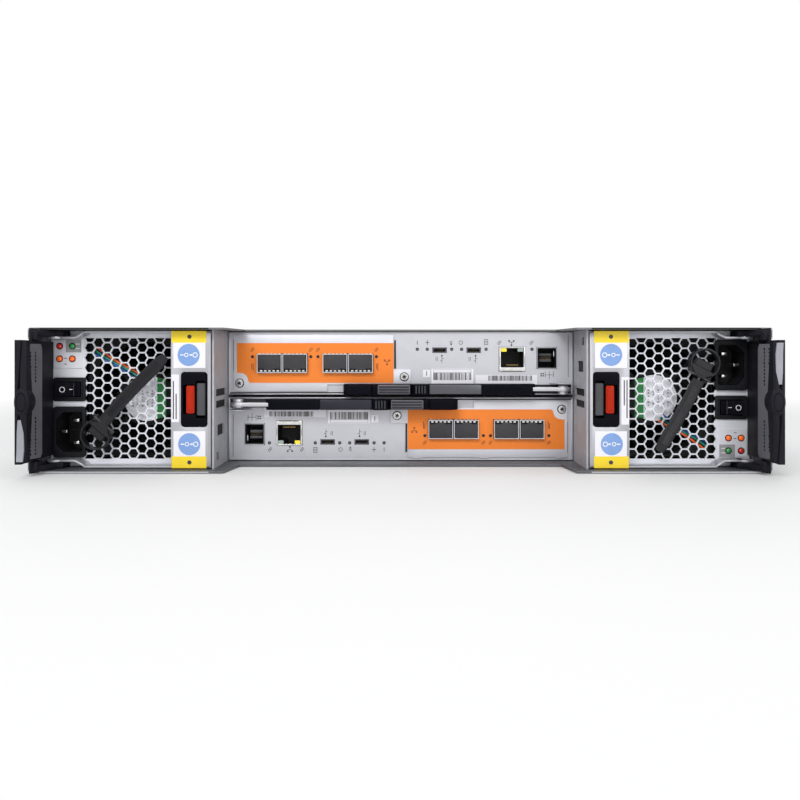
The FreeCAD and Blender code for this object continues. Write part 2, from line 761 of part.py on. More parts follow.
def make_rotor(name, turned):
    """Rotor drawn about its own axis: a hub with seven twisted blades."""
    rotor = new_body("rotor")
    depth = size["fan_depth"] - 7
    hub = sketch_on(rotor, "XZ_Plane", 0)
    circle(hub, 0, 0, size["fan_hub"])
    pad(rotor, hub, depth)
    doc.recompute()
    root = size["fan_hub"] / 2 - 1
    tip = size["fan_bore"] / 2 - size["blade_gap"]
    sections = []
    for radius, chord, angle in ((root, 13.0, 52), ((root + tip) / 2, 16.5, 40), (tip, 19.0, 31)):
        lean = math.radians(angle)
        rise = chord * math.sin(lean) / 2
        run = chord * math.cos(lean) / 2
        section = sketch_on(rotor, "YZ_Plane", radius)
        centre = depth / 2
        outline(section, (
            (centre - rise, -run), (centre - rise + 0.9, -run - 0.5),
            (centre + 1.8, 0.4), (centre + rise, run), (centre + rise - 0.9, run + 0.5),
            (centre + 0.6, 1.6),
        ))
        sections.append(section)
    blade = rotor.newObject("PartDesign::AdditiveLoft", "Blade")
    blade.Profile = sections[0]
    blade.Sections = sections[1:]
    blade.Ruled = True
    doc.recompute()
    blades = rotor.newObject("PartDesign::PolarPattern", "Blades")
    blades.Originals = [blade]
    axis = [item for item in rotor.Origin.OriginFeatures if item.Role == "Y_Axis"][0]
    blades.Axis = (axis, [""])
    blades.Angle = 360
    blades.Occurrences = 7
    rotor.Tip = blades
    finish(rotor, f"{name}_fan_rotor")
    turn = FreeCAD.Rotation(FreeCAD.Vector(0, 1, 0), 180 if turned else 0)
    rotor.Placement = FreeCAD.Placement(FreeCAD.Vector(0, 0, 0), turn)
    bind(rotor, "Placement.Base.x", -fan_x if turned else fan_x)
    bind(rotor, "Placement.Base.y", fan_back + 3.3)
    bind(rotor, "Placement.Base.z", middle)


def make_inlet(name, turned):
    """Mains inlet lying on its side, with its three blades."""
    body = new_body("inlet")
    across, up = inlet_centre
    flange_y = (module_face - 1.8, module_face)
    half_w = size["inlet_width"] / 2
    half_h = size["inlet_height"] / 2
    pad_rectangle(body, (across - half_w, across + half_w), flange_y, (up - half_h, up + half_h))
    round_edges(body, 1.4, lambda edge: runs_along(edge, "y"))
    shell = 1.9
    pad_rectangle(
        body, (across - half_w + shell, across + half_w - shell),
        (module_face, module_face + size["inlet_socket"] + 2),
        (up - half_h + shell, up + half_h - shell),
    )
    mouth = sketch_on(body, "XZ_Plane", flange_y[0])
    mouth_w = size["inlet_mouth_width"] / 2
    mouth_h = size["inlet_mouth_height"] / 2
    corner = 4.5
    outline(mouth, (
        (across - mouth_w + corner, up - mouth_h), (across + mouth_w, up - mouth_h),
        (across + mouth_w, up + mouth_h), (across - mouth_w + corner, up + mouth_h),
        (across - mouth_w, up + mouth_h - corner), (across - mouth_w, up - mouth_h + corner),
    ))
    pocket(body, mouth, size["inlet_socket"])
    blades = sketch_on(body, "XZ_Plane", flange_y[0] + 3)
    for side, lift in ((3, 7), (3, -7), (-4.6, 0)):
        rectangle(blades, (across + side - 2, across + side + 2), (up + lift - 1, up + lift + 1))
    pad(body, blades, size["inlet_socket"] - 2)
    finish(body, f"{name}_inlet", turned)


def make_switch(name, turned):
    """Rocker switch: a snap-in frame and the rocker, which stands in its off position."""
    frame = new_body("switch_frame")
    across, up = switch_centre
    half_w = size["switch_width"] / 2
    half_h = size["switch_height"] / 2
    pad_rectangle(frame, (across - half_w, across + half_w), (module_face - 1.6, module_face), (up - half_h, up + half_h))
    round_edges(frame, 1, lambda edge: runs_along(edge, "y"))
    shell = 1.9
    pad_rectangle(
        frame, (across - half_w + shell, across + half_w - shell),
        (module_face, module_face + 14), (up - half_h + shell, up + half_h - shell),
    )
    rim = 2.6
    well_w = half_w - rim
    well_h = half_h - rim
    cut_rectangle(frame, (across - well_w, across + well_w), (module_face - 1.6, module_face + 12), (up - well_h, up + well_h))
    finish(frame, f"{name}_switch_frame", turned)

    rocker = new_body("rocker")
    profile = sketch_on(rocker, "XY_Plane", up - well_h + 0.4)
    arm = well_w - 0.9
    face = module_face - 1.6
    play = 0.4
    outline(profile, (
        (across - arm, face - 1.9), (across, face + 0.7), (across + arm, face + 0.9),
        (across + arm - 1.2, face + 6), (across, face + 8), (across - arm + 0.4, face + 4),
    ))
    pad(rocker, profile, well_h * 2 - play * 2)
    trunnion = sketch_on(rocker, "XY_Plane", up - well_h + play / 4)
    circle(trunnion, across, face + 1.6, as_size(1.8))
    pad(rocker, trunnion, well_h * 2 - play / 2)
    finish(rocker, f"{name}_switch_rocker", turned)


def make_grip(name, turned):
    """Black moulded grip with its thumb boss, and the two lugs that the handle pivots in."""
    body = new_body("grip")
    half = size["grip_height"] / 2
    thick = size["grip_thickness"]
    outer = -half_width + 0.4
    root_outer = case_outer + 0.3
    root_inner = column_x - 0.3
    low = middle - half
    shoulder = bay_rear - 0.4
    post = bay_rear - 7
    wing = sketch_on(body, "XY_Plane", low)
    outline(wing, (
        (outer, grip_rear + 2), (outer + 1.4, grip_rear), (outer + thick - 1.2, grip_rear),
        (outer + thick, grip_rear + 2), (outer + thick - 1, shoulder - 3),
        (root_inner, shoulder), (root_inner, module_face), (root_outer, module_face),
        (root_outer, shoulder), (outer, shoulder),
    ))
    pad(body, wing, half * 2)
    spine = sketch_on(body, "XY_Plane", 0.4)
    rectangle(spine, (outer, root_inner), (post, shoulder))
    pad(body, spine, height - 0.8)
    boss = sketch_on(body, "YZ_Plane", outer)
    circle(boss, grip_rear + 9, middle, size["grip_boss"])
    pad(body, boss, thick * 2 - 0.6)
    lug_height = size["handle_low"] - gap
    for level in (-1, 1):
        start = case_high - lug_height if level > 0 else case_low
        lug = sketch_on(body, "XY_Plane", start)
        outline(lug, (
            (root_outer, module_face), (root_outer + 12, module_face),
            (root_outer + 12, pivot_y - 4), (root_outer + 2.5, post), (outer, post),
            (outer, shoulder), (root_outer, shoulder),
        ))
        pad(body, lug, lug_height)
        reach = size["handle_steel"] + 0.6
        pin_start = start - reach if level > 0 else start + lug_height
        pin = sketch_on(body, "XY_Plane", pin_start)
        circle(pin, pivot_x, pivot_y, size["pivot_pin"])
        pad(body, pin, reach)
    finish(body, f"{name}_grip", turned)


def make_handle(name, turned):
    """Steel bail: a plate over the module's inner edge and two joggled arms to the pivot."""
    thick = size["handle_steel"]
    rear = cover_edge - size["handle_recess"]
    depth = module_face - 0.3 - rear
    plate_right = case_inner - size["handle_gap"] + gap
    plate_left = plate_right - size["handle_plate"]
    joggle = case_outer + size["handle_joggle"]
    body = new_body("handle")
    for level in (-1, 1):
        profile = sketch_on(body, "XZ_Plane", rear)
        case_side = case_high if level > 0 else case_low
        far = case_side - size["handle_high"] * level
        near = case_side - size["handle_low"] * level
        step = thick * level
        outline(profile, (
            (pivot_x, near), (joggle - 6, near), (joggle, far), (plate_right, far),
            (plate_right, far - step), (joggle + 0.5, far - step), (joggle - 5.5, near - step),
            (pivot_x, near - step),
        ))
        if level < 0:
            plate = sketch_on(body, "XZ_Plane", rear)
            rectangle(plate, (plate_left, plate_right), (far, case_high - size["handle_high"]))
            pad(body, plate, thick)
        pad(body, profile, depth)
    for level in (-1, 1):
        near = case_high - size["handle_low"] if level > 0 else case_low + size["handle_low"]
        eye = sketch_on(body, "XY_Plane", near - thick if level > 0 else near)
        circle(eye, pivot_x, pivot_y, depth)
        pad(body, eye, thick)
    hole = sketch_on(body, "XY_Plane", case_low)
    circle(hole, pivot_x, pivot_y, size["pivot_pin"] + 0.6)
    pocket(body, hole, case_high - case_low)
    half_w = size["latch_width"] / 2
    half_h = size["latch_height"] / 2
    centre = plate_right - 2.2 - half_w
    cut_rectangle(body, (centre - half_w, centre + half_w), (rear, rear + thick), (middle - half_h, middle + half_h))
    finish(body, f"{name}_handle", turned)
    make_latch(name, turned, centre, rear)


def make_latch(name, turned, centre, rear):
    """Latch housing set in the handle's window, with its sliding trigger."""
    fit = 0.3
    half_w = size["latch_width"] / 2 - fit
    half_h = size["latch_height"] / 2 - fit
    body = new_body("latch")
    pad_rectangle(body, (centre - half_w, centre + half_w), (rear - 1.2, module_face - 0.9), (middle - half_h, middle + half_h))
    round_edges(body, 2, lambda edge: runs_along(edge, "y"))
    well_left = centre - half_w + 1.2
    well_right = well_left + size["trigger_width"] + size["trigger_travel"] + 0.6
    trigger_half = size["trigger_height"] / 2
    cut_rectangle(
        body, (well_left, well_right), (rear - 1.2, rear + 4.6),
        (middle - trigger_half - 0.4, middle + trigger_half + 0.4),
    )
    cut_rectangle(
        body, (well_right + 1, centre + half_w - 1.2), (rear - 1.2, rear + 2),
        (middle - trigger_half - 2, middle + trigger_half + 2),
    )
    finish(body, f"{name}_latch", turned)

    trigger = new_body("trigger")
    trigger_right = well_right - 0.3
    pad_rectangle(
        trigger, (trigger_right - size["trigger_width"], trigger_right),
        (rear - 2.2, rear + 4.3), (middle - trigger_half, middle + trigger_half),
    )
    round_edges(trigger, 0.8, lambda edge: runs_along(edge, "z") and edge.CenterOfMass.y < rear.value)
    finish(trigger, f"{name}_trigger", turned)


def make_strap(name, turned):
    """Cord retaining strap: a loop on the panel, its head and the loose tail."""
    loop_x = case_outer + 31
    loop_z = case_low + 20.2
    back = module_face - 2.1
    outer_ring = doc.addObject("Part::Cylinder", "Loop")
    inner_ring = doc.addObject("Part::Cylinder", "LoopBore")
    for ring, radius, start, length in ((outer_ring, 9.4, back - 6, 6), (inner_ring, 8.2, back - 7, 8)):
        bind(ring, "Radius", as_size(radius))
        bind(ring, "Height", as_size(length))
        ring.Placement.Rotation = FreeCAD.Rotation(FreeCAD.Vector(1, 0, 0), -90)
        bind(ring, "Placement.Base.x", loop_x)
        bind(ring, "Placement.Base.y", start)
        bind(ring, "Placement.Base.z", loop_z)
    loop = cut_away(outer_ring, inner_ring)

    if turned:
        run = ((3, 8.5), (11, 25), (20.5, 41), (29.7, 55))
    else:
        run = ((4.5, 7.5), (15.3, 22.2), (29, 36.5), (43.6, 48.9))
    one_side = []
    other_side = []
    for index, (across, up) in enumerate(run):
        before = run[max(index - 1, 0)]
        after = run[min(index + 1, len(run) - 1)]
        lean = math.atan2(after[1] - before[1], after[0] - before[0])
        aside = (-math.sin(lean), math.cos(lean))
        for points, reach in ((one_side, size["strap_width"] / 2), (other_side, -size["strap_width"] / 2)):
            points.append((loop_x + across + reach * aside[0], loop_z + up + reach * aside[1]))
    tail = new_body("tail")
    sketch = sketch_on(tail, "XZ_Plane", back - 6)
    outline(sketch, tuple(one_side) + tuple(reversed(other_side)))
    pad(tail, sketch, size["strap_thickness"])
    head = block((loop_x - 7.4, loop_x + 1), (back - 6, back), (loop_z + 7.5, loop_z + 13.5))
    foot = block((loop_x - 3.4, loop_x), (back - 1, module_face - 0.1), (loop_z + 8.5, loop_z + 12.5))
    finish(joined([loop, tail, head, foot]), f"{name}_strap", turned)


def make_power_module(name, turned):
    """All pieces of one power module."""
    make_module_case(name, turned)
    make_grille(name, turned)
    make_fan(name, turned)
    make_inlet(name, turned)
    make_switch(name, turned)
    make_grip(name, turned)
    make_handle(name, turned)
    make_strap(name, turned)


# ---------------------------------------------------------------- controller

face_y = cover_edge + size["controller_recess"]
can_side = bay_side - gap
can_low = floor_top + gap
can_high = middle - size["shelf_steel"] / 2 - gap
bracket_low = can_low + 1.4
bracket_high = can_low + 35.2
bracket_right = as_size(109.3)
cage_low = can_low + 14.5
cage_middle = as_size(56.4)
cage_pitch = size["cage_width"] + size["cage_space"]
cage_places = [
    cage_middle - size["pair_space"] / 2 - cage_pitch - size["cage_width"],
    cage_middle - size["pair_space"] / 2 - size["cage_width"],
    cage_middle + size["pair_space"] / 2,
    cage_middle + size["pair_space"] / 2 + cage_pitch,
]


def jack_places():
    """Left, right, low and high of the network jack and of the expansion port."""
    return (
        ((as_size(-82.4), as_size(-65.2)), (can_low + 10.0, can_low + 26.0)),
        ((as_size(-103.4), as_size(-90.2)), (can_low + 10.2, can_low + 24.2)),
    )


def service_places():
    """Left, right, low and high of the two small service ports."""
    low = can_low + 10.4
    return (
        ((as_size(-53.0), as_size(-43.8)), (low, low + 3.2)),
        ((as_size(-30.4), as_size(-21.2)), (low, low + 3.2)),
    )


def make_controller_case(name, turned):
    """Sheet metal canister, open towards the midplane, with its port cut-outs."""
    body = new_body("case")
    wall = size["module_steel"]
    end = face_y + size["controller_depth"]
    pad_rectangle(body, (-can_side, can_side), (face_y, end), (can_low, can_high))
    cut_rectangle(
        body, (-can_side + wall, can_side - wall), (face_y + wall, end), (can_low + wall, can_high - wall),
    )
    cuts = sketch_on(body, "XZ_Plane", face_y)
    fit = 0.2
    for across, up in jack_places() + service_places():
        rectangle(cuts, (across[0] - fit, across[1] + fit), (up[0] - fit, up[1] + fit))
    rectangle(
        cuts, (cage_places[0] - 4, cage_places[3] + size["cage_width"] + 4),
        (cage_low - 3, cage_low + size["cage_height"] + 3),
    )
    for place in (-87.0, -56.6, -40.4, -33.8, -17.6, -11.0):
        circle(cuts, place, can_low + 11.4, as_size(2))
    pocket(body, cuts, wall)
    finish(body, f"{name}_case", turned)


def make_card(name, turned):
    """Host card: its bracket on the canister's face, four port cages and their dust plugs."""
    bracket_y = (face_y - size["bracket"], face_y)
    body = new_body("bracket")
    plate = sketch_on(body, "XZ_Plane", bracket_y[0])
    low = bracket_low
    high = bracket_high
    outline(plate, (
        (as_size(4.9), low), (bracket_right, low), (bracket_right, high), (as_size(-6.6), high),
        (as_size(-6.6), high - 10.4), (as_size(4.9), high - 10.4),
    ))
    pad(body, plate, size["bracket"])
    cuts = sketch_on(body, "XZ_Plane", bracket_y[0])
    fit = 0.2
    for place in (0, 2):
        rectangle(
            cuts, (cage_places[place] - fit, cage_places[place + 1] + size["cage_width"] + fit),
            (cage_low - fit, cage_low + size["cage_height"] + fit),
        )
    for across, up in ((-2.3, high - 4.7), (bracket_right - 2.6, high - 4.7)):
        circle(cuts, across, up, as_size(2.6))
    pocket(body, cuts, size["bracket"])
    finish(body, f"{name}_card_bracket", turned)

    cages = []
    plugs = []
    wall = size["cage_wall"]
    for place in cage_places:
        mouth = bracket_y[0] - size["cage_proud"]
        cage = new_body("cage")
        across = (place, place + size["cage_width"])
        up = (cage_low, cage_low + size["cage_height"])
        pad_rectangle(cage, across, (mouth, mouth + size["cage_length"]), up)
        cut_rectangle(
            cage, (across[0] + wall, across[1] - wall), (mouth, mouth + size["cage_length"] - wall),
            (up[0] + wall, up[1] - wall),
        )
        cages.append(cage)
        inset = wall + size["plug_gap"]
        plug = new_body("plug")
        pad_rectangle(plug, (across[0] + inset, across[1] - inset), (mouth - 0.8, mouth + 18), (up[0] + inset, up[1] - inset))
        cut_rectangle(
            plug, (across[0] + inset + 1.2, across[1] - inset - 1.2), (mouth - 0.8, mouth + 1.2),
            (up[0] + inset + 1.2, up[1] - inset - 2.6),
        )
        plugs.append(plug)
    finish(group(cages), f"{name}_port_cages", turned)
    finish(group(plugs), f"{name}_dust_plugs", turned)


def make_ports(name, turned):
    """Network jack, expansion port and the two service ports, each a shell with its mouth."""
    ports = []
    jack, expansion = jack_places()
    for (across, up), proud, rim, mouth_depth in (
        (jack, 0.8, 2.0, 13), (expansion, 0.8, 1.0, 14),
        (service_places()[0], 0.3, 0.5, 4), (service_places()[1], 0.3, 0.5, 4),
    ):
        port = new_body("port")
        start = face_y - proud
        pad_rectangle(port, across, (start, start + mouth_depth + 4), up)
        cut_rectangle(
            port, (across[0] + rim, across[1] - rim), (start, start + mouth_depth), (up[0] + rim, up[1] - rim),
        )
        ports.append(port)
    tongue_z = (expansion[1][0] + expansion[1][1]) / 2
    tongue = block(
        (expansion[0][0] + 3, expansion[0][1] - 0.5), (face_y + 3, face_y + 14), (tongue_z - 0.6, tongue_z + 0.6),
    )
    ports[1] = joined([ports[1], tongue])
    finish(group(ports), f"{name}_ports", turned)


def make_lever(name, turned):
    """Ejector lever: steel arm at the pivot, moulded grip and a sliding thumb catch."""
    top = can_high - 0.4
    low = top - size["lever_height"]
    pivot = -can_side + 8.0
    tip = pivot + size["lever_length"]
    back = face_y - size["bracket"] - 0.5
    front = back - size["lever_depth"]
    pivot_y_place = back - 4.8
    grip_start = pivot + 18.5
    flat_start = pivot + 53
    knuckle_start = pivot + 88
    catch_start = pivot + 100
    catch_end = catch_start + size["catch_length"]
    body = new_body("lever")
    plan = sketch_on(body, "XY_Plane", low)
    outline(plan, (
        (grip_start, back), (grip_start, front + 4), (grip_start + 6, front + 1.6),
        (flat_start, front + 1.6), (flat_start, front + 2.4), (knuckle_start, front + 2.4),
        (knuckle_start, front), (catch_start - 3, front), (catch_start - 0.2, front + 3.2),
        (catch_end + size["catch_travel"] + 0.2, front + 3.2),
        (catch_end + size["catch_travel"] + 0.2, front + 1), (tip - 3, front + 1.6),
        (tip, front + 5), (tip, back - 3), (tip - 3, back),
    ))
    pad(body, plan, size["lever_height"])
    arm = sketch_on(body, "XY_Plane", low + 2.2)
    rectangle(arm, (pivot, grip_start + 2), (back - 8.4, back - 1.2))
    pad(body, arm, 2.4)
    for start, length, across_size in ((low + 2.2, 2.4, 9.4), (low + 1.2, 4.6, 6)):
        eye = sketch_on(body, "XY_Plane", start)
        circle(eye, pivot, pivot_y_place, as_size(across_size))
        pad(body, eye, as_size(length))
    finish(body, f"{name}_lever", turned)

    catch = new_body("catch")
    pad_rectangle(
        catch, (catch_start, catch_end), (front - 0.6, front + 2.9), (low + 0.4, top - 0.4),
    )
    round_edges(catch, 0.8, lambda edge: runs_along(edge, "z"))
    ribs = sketch_on(catch, "XY_Plane", low)
    for step in range(4):
        start = catch_start + 3 + 4 * step
        rectangle(ribs, (start, start + 1.6), (front - 0.6, front - 0.1))
    pocket(catch, ribs, size["lever_height"])
    finish(catch, f"{name}_lever_catch", turned)


def make_controller(name, turned):
    """All pieces of one controller."""
    make_controller_case(name, turned)
    make_card(name, turned)
    make_ports(name, turned)
    make_lever(name, turned)


# ---------------------------------------------------------------- build and write

def check_and_write():
    """Stops on any failed object, empty cut or bad shape, then writes every sub-part."""
    doc.recompute()
    failed = [f"{item.Name} {item.Label} {item.State}" for item in doc.Objects
              if "Invalid" in item.State or "Error" in item.State]
    if failed:
        raise RuntimeError("failed objects: " + "; ".join(failed))
    for item in doc.Objects:
        if item.TypeId == "PartDesign::Pocket":
            if item.BaseFeature.Shape.Volume - item.Shape.Volume < 1e-6:
                raise RuntimeError(f"{item.Name} cuts nothing")
    os.makedirs("parts", exist_ok=True)
    for item in nodes:
        if item.Shape.isNull() or not item.Shape.isValid():
            raise RuntimeError(f"{item.Label} has a bad shape")
        item.Shape.exportStep(f"parts/{item.Label}.step")


make_tray()
make_cover()
make_dividers()
make_shelf()
make_drive_cage()
make_midplane()
make_ears()
make_drives()
for module_name, module_turned in (("power_left", False), ("power_right", True)):
    make_power_module(module_name, module_turned)
for controller_name, controller_turned in (("controller_lower", False), ("controller_upper", True)):
    make_controller(controller_name, controller_turned)
check_and_write()
print(len(nodes), "sub-parts written")
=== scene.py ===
"""Looks of the disk shelf: finishes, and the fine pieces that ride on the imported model."""
import math

import bmesh
import bpy
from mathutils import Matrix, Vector


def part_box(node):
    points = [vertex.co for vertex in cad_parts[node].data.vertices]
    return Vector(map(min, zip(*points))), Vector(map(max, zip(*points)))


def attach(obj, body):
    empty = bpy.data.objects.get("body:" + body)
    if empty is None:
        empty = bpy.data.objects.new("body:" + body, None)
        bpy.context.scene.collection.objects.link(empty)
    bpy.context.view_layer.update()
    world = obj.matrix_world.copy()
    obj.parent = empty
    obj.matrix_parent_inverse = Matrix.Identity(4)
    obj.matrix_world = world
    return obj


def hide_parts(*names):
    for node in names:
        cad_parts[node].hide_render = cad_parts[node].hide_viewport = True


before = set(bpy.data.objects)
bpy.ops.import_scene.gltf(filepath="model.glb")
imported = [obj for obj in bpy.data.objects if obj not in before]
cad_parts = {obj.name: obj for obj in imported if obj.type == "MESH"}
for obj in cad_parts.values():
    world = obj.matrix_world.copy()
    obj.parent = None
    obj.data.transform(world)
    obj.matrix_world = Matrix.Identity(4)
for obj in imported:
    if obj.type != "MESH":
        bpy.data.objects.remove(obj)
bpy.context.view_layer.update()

MM = 0.001
SHELF_HEIGHT = 88.0
MIDDLE = SHELF_HEIGHT / 2
PIN_X, PIN_Y = -213.9, -301.0  # the pins that the left handle swings on
SIDES = (("left", False), ("right", True))
LEVELS = (("lower", False), ("upper", True))
DRIVES = range(1, 13)
EASED_FROM = math.radians(25)  # edges sharper than this are bevelled
CREASED_FROM = math.radians(35)  # edges sharper than this aren't shaded smooth


# ---------------------------------------------------------------- nodes

def feed(tree, node, values):
    """Sets a node's inputs to constants, or links them to other nodes' outputs."""
    for socket, value in values.items():
        if isinstance(value, bpy.types.NodeSocket):
            tree.links.new(value, node.inputs[socket])
        else:
            node.inputs[socket].default_value = value


def add_node(tree, kind, values, **settings):
    """A new node with its settings and inputs."""
    node = tree.nodes.new(kind)
    for name, value in settings.items():
        setattr(node, name, value)
    feed(tree, node, values)
    return node


# ---------------------------------------------------------------- finishes

class Finish:
    """A material whose colour, gloss and relief come from procedural textures."""

    def __init__(self, name, colour, roughness, metallic=0.0):
        self.material = bpy.data.materials.new(name)
        self.material.use_nodes = True
        self.tree = self.material.node_tree
        self.shader = self.tree.nodes["Principled BSDF"]
        self.colour = colour
        self.roughness = roughness
        self.coordinates = self.tree.nodes.new("ShaderNodeTexCoord").outputs["Object"]
        self.shade({"Base Color": (*colour, 1), "Roughness": roughness, "Metallic": metallic})

    def shade(self, values):
        """Sets or links the shader's own inputs."""
        feed(self.tree, self.shader, values)
        return self

    def mapped(self, stretch):
        """Object coordinates, stretched along an axis for grain that runs one way."""
        mapping = add_node(self.tree, "ShaderNodeMapping", {"Scale": stretch, "Vector": self.coordinates})
        return mapping.outputs["Vector"]

    def noise(self, scale, detail=4.0, stretch=(1, 1, 1)):
        """A noise texture's factor."""
        values = {"Scale": scale, "Detail": detail, "Roughness": 0.55, "Vector": self.mapped(stretch)}
        return add_node(self.tree, "ShaderNodeTexNoise", values).outputs["Fac"]

    def crystals(self, scale):
        """The grey of a cell texture, for the spangle of zinc."""
        values = {"Scale": scale, "Vector": self.mapped((1, 1, 1))}
        cells = add_node(self.tree, "ShaderNodeTexVoronoi", values)
        return add_node(self.tree, "ShaderNodeRGBToBW", {"Color": cells.outputs["Color"]}).outputs["Val"]

    def ramp(self, factor, low, high, start=0.3, end=0.7):
        """Blends two colours along a factor."""
        ramp = add_node(self.tree, "ShaderNodeValToRGB", {"Fac": factor})
        for stop, place, colour in zip(ramp.color_ramp.elements, (start, end), (low, high)):
            stop.position = place
            stop.color = (*colour, 1)
        return ramp.outputs["Color"]

    def drifting(self, change):
        """A darker and a paler version of the colour."""
        low = tuple(max(0.0, part * (1 - change)) for part in self.colour)
        return low, tuple(min(1.0, part * (1 + change)) for part in self.colour)

    def mottle(self, scale, change):
        """Lets the colour drift lighter and darker."""
        return self.shade({"Base Color": self.ramp(self.noise(scale), *self.drifting(change))})

    def sheen_drift(self, scale, change, stretch=(1, 1, 1)):
        """Lets the roughness drift, as handled or rolled surfaces do."""
        values = {
            "From Min": 0.3, "From Max": 0.7, "To Min": max(0.02, self.roughness - change),
            "To Max": min(1.0, self.roughness + change), "Value": self.noise(scale, 5.0, stretch),
        }
        return self.shade({"Roughness": add_node(self.tree, "ShaderNodeMapRange", values).outputs["Result"]})

    def grain(self, scale, height, stretch=(1, 1, 1), strength=0.4):
        """Adds fine relief; height is in millimetres."""
        values = {"Strength": strength, "Distance": height * MM, "Height": self.noise(scale, 3.0, stretch)}
        return self.shade({"Normal": add_node(self.tree, "ShaderNodeBump", values).outputs["Normal"]})


def sheet_metal(name, colour, roughness, spangle, metallic):
    """Zinc-coated sheet: faint crystals, a rolled grain and small scuffs."""
    finish = Finish(name, colour, roughness, metallic)
    tint = finish.ramp(finish.crystals(160), *finish.drifting(spangle), 0.1, 0.9)
    cloud = finish.ramp(finish.noise(38, 6), (0.93, 0.93, 0.93), (1, 1, 1))
    mix = add_node(finish.tree, "ShaderNodeMix", {"Factor": 0.7, "A": tint, "B": cloud},
                   data_type="RGBA", blend_type="MULTIPLY")
    finish.shade({"Base Color": mix.outputs["Result"]})
    return finish.sheen_drift(90, 0.035, (1, 1, 6)).grain(900, 0.02, (1, 1, 5), 0.25)


def moulded(name, colour, roughness, gloss=0.12, grain_scale=1500.0, height=0.03):
    """Moulded plastic with a spark-eroded grain and rubbed, shinier patches."""
    finish = Finish(name, colour, roughness).shade({"Specular IOR Level": gloss})
    return finish.mottle(30, 0.18).sheen_drift(45, 0.12).grain(grain_scale, height, strength=0.35)


def coated(name, colour, roughness, mottle, grain=None, metallic=0.0):
    """Paint, ink, paper, wire or bare metal: a mottle, and a grain where one can be felt."""
    finish = Finish(name, colour, roughness, metallic).mottle(*mottle)
    return finish.grain(*grain) if grain else finish


def lens(name, colour, roughness, change, coat, glow=None):
    """A clear-coated lens; glow holds the colour and strength of the lamp behind it."""
    finish = Finish(name, colour, roughness).mottle(500, change)
    finish.shade({"Coat Weight": coat, "Coat Roughness": 0.15})
    if glow:
        finish.shade({"Emission Color": (*glow[:3], 1), "Emission Strength": glow[3]})
    return finish


SHEETS = {  # colour, roughness, spangle, metallic
    "bright_sheet": ((0.54, 0.54, 0.58), 0.46, 0.018, 0.45),
    "dark_sheet": ((0.135, 0.138, 0.15), 0.48, 0.07, 0.6),
    "cover_sheet": ((0.17, 0.171, 0.18), 0.42, 0.06, 0.7),
    "cut_edge": ((0.55, 0.55, 0.58), 0.38, 0.02, 0.7),
    "divider_sheet": ((0.40, 0.402, 0.43), 0.6, 0.08, 0.25),
    "carrier_sheet": ((0.42, 0.42, 0.44), 0.4, 0.05, 0.7),
    "handle_sheet": ((0.46, 0.46, 0.49), 0.40, 0.03, 0.6),
    "brushed_plate": ((0.11, 0.11, 0.125), 0.36, 0.03, 0.8),
    "panel_sheet": ((0.74, 0.75, 0.80), 0.5, 0.02, 0.25),
    "bracket_sheet": ((0.66, 0.66, 0.71), 0.5, 0.015, 0.3),
    "catch_steel": ((0.045, 0.045, 0.055), 0.36, 0.03, 0.8),
    # a near-black copy of brushed_plate for the lower lever's strip: painted shade
    "lever_strip": ((0.02, 0.021, 0.03), 0.36, 0.03, 0.6),
}
MOULDED = {  # colour, roughness, then gloss, grain scale and grain height where they are special
    "grip_plastic": ((0.013, 0.013, 0.018), 0.44, 0.08),
    # a pale grey for patches on the grip strip's lower half: a painted highlight
    "grip_side": ((0.115, 0.115, 0.13), 0.50),
    "grip_worn": ((0.33, 0.33, 0.37), 0.4),
    "black_plastic": ((0.003, 0.003, 0.006), 0.42, 0.05),
    "socket_plastic": ((0.012, 0.012, 0.014), 0.40),
    "fan_plastic": ((0.010, 0.011, 0.011), 0.42),
    "bezel_plastic": ((0.045, 0.045, 0.048), 0.45),
    "plug_rubber": ((0.052, 0.050, 0.054), 0.60),
    "strap_nylon": ((0.012, 0.012, 0.015), 0.32, 0.3, 700, 0.02),
    "trigger_red": ((0.446, 0.021, 0.005), 0.35),
    "finger_grey": ((0.085, 0.088, 0.095), 0.42),
    "ear_paint": ((0.035, 0.035, 0.038), 0.5, 0.12, 900, 0.03),
}
COATED = {  # colour, roughness, mottle scale and change, grain scale and height, metallic
    "screw_steel": ((0.60, 0.60, 0.60), 0.25, (300, 0.15), (2000, 0.01), 1.0),
    "contact_gold": ((0.80, 0.55, 0.20), 0.25, (400, 0.1), None, 1.0),
    "blade_nickel": ((0.72, 0.72, 0.70), 0.2, (400, 0.1), None, 1.0),
    "orange_paint": ((0.82, 0.205, 0.014), 0.55, (25, 0.04), (700, 0.02)),
    "ink": ((0.035, 0.035, 0.04), 0.55, (200, 0.2)),
    "orange_ink": ((0.13, 0.03, 0.01), 0.55, (200, 0.2)),
    "white_ink": ((0.85, 0.85, 0.85), 0.5, (200, 0.05)),
    "white_label": ((0.80, 0.79, 0.84), 0.42, (60, 0.03), (500, 0.01)),
    "yellow_label": ((0.90, 0.66, 0.02), 0.42, (60, 0.04), (500, 0.01)),
    "blue_label": ((0.20, 0.34, 0.66), 0.42, (60, 0.05), (500, 0.01)),
    "grey_label": ((0.30, 0.30, 0.31), 0.42, (60, 0.06), (500, 0.01)),
    "green_label": ((0.005, 0.22, 0.04), 0.4, (60, 0.06), (500, 0.01)),
    "wire_orange": ((0.80, 0.12, 0.02), 0.4, (90, 0.1), (900, 0.01)),
    "wire_teal": ((0.01, 0.22, 0.17), 0.4, (90, 0.1), (900, 0.01)),
    "wire_blue": ((0.01, 0.10, 0.35), 0.4, (90, 0.1), (900, 0.01)),
    "board_green": ((0.015, 0.12, 0.05), 0.35, (120, 0.25), (600, 0.02)),
    "shadow": ((0.006, 0.006, 0.007), 0.7, (80, 0.3)),
}
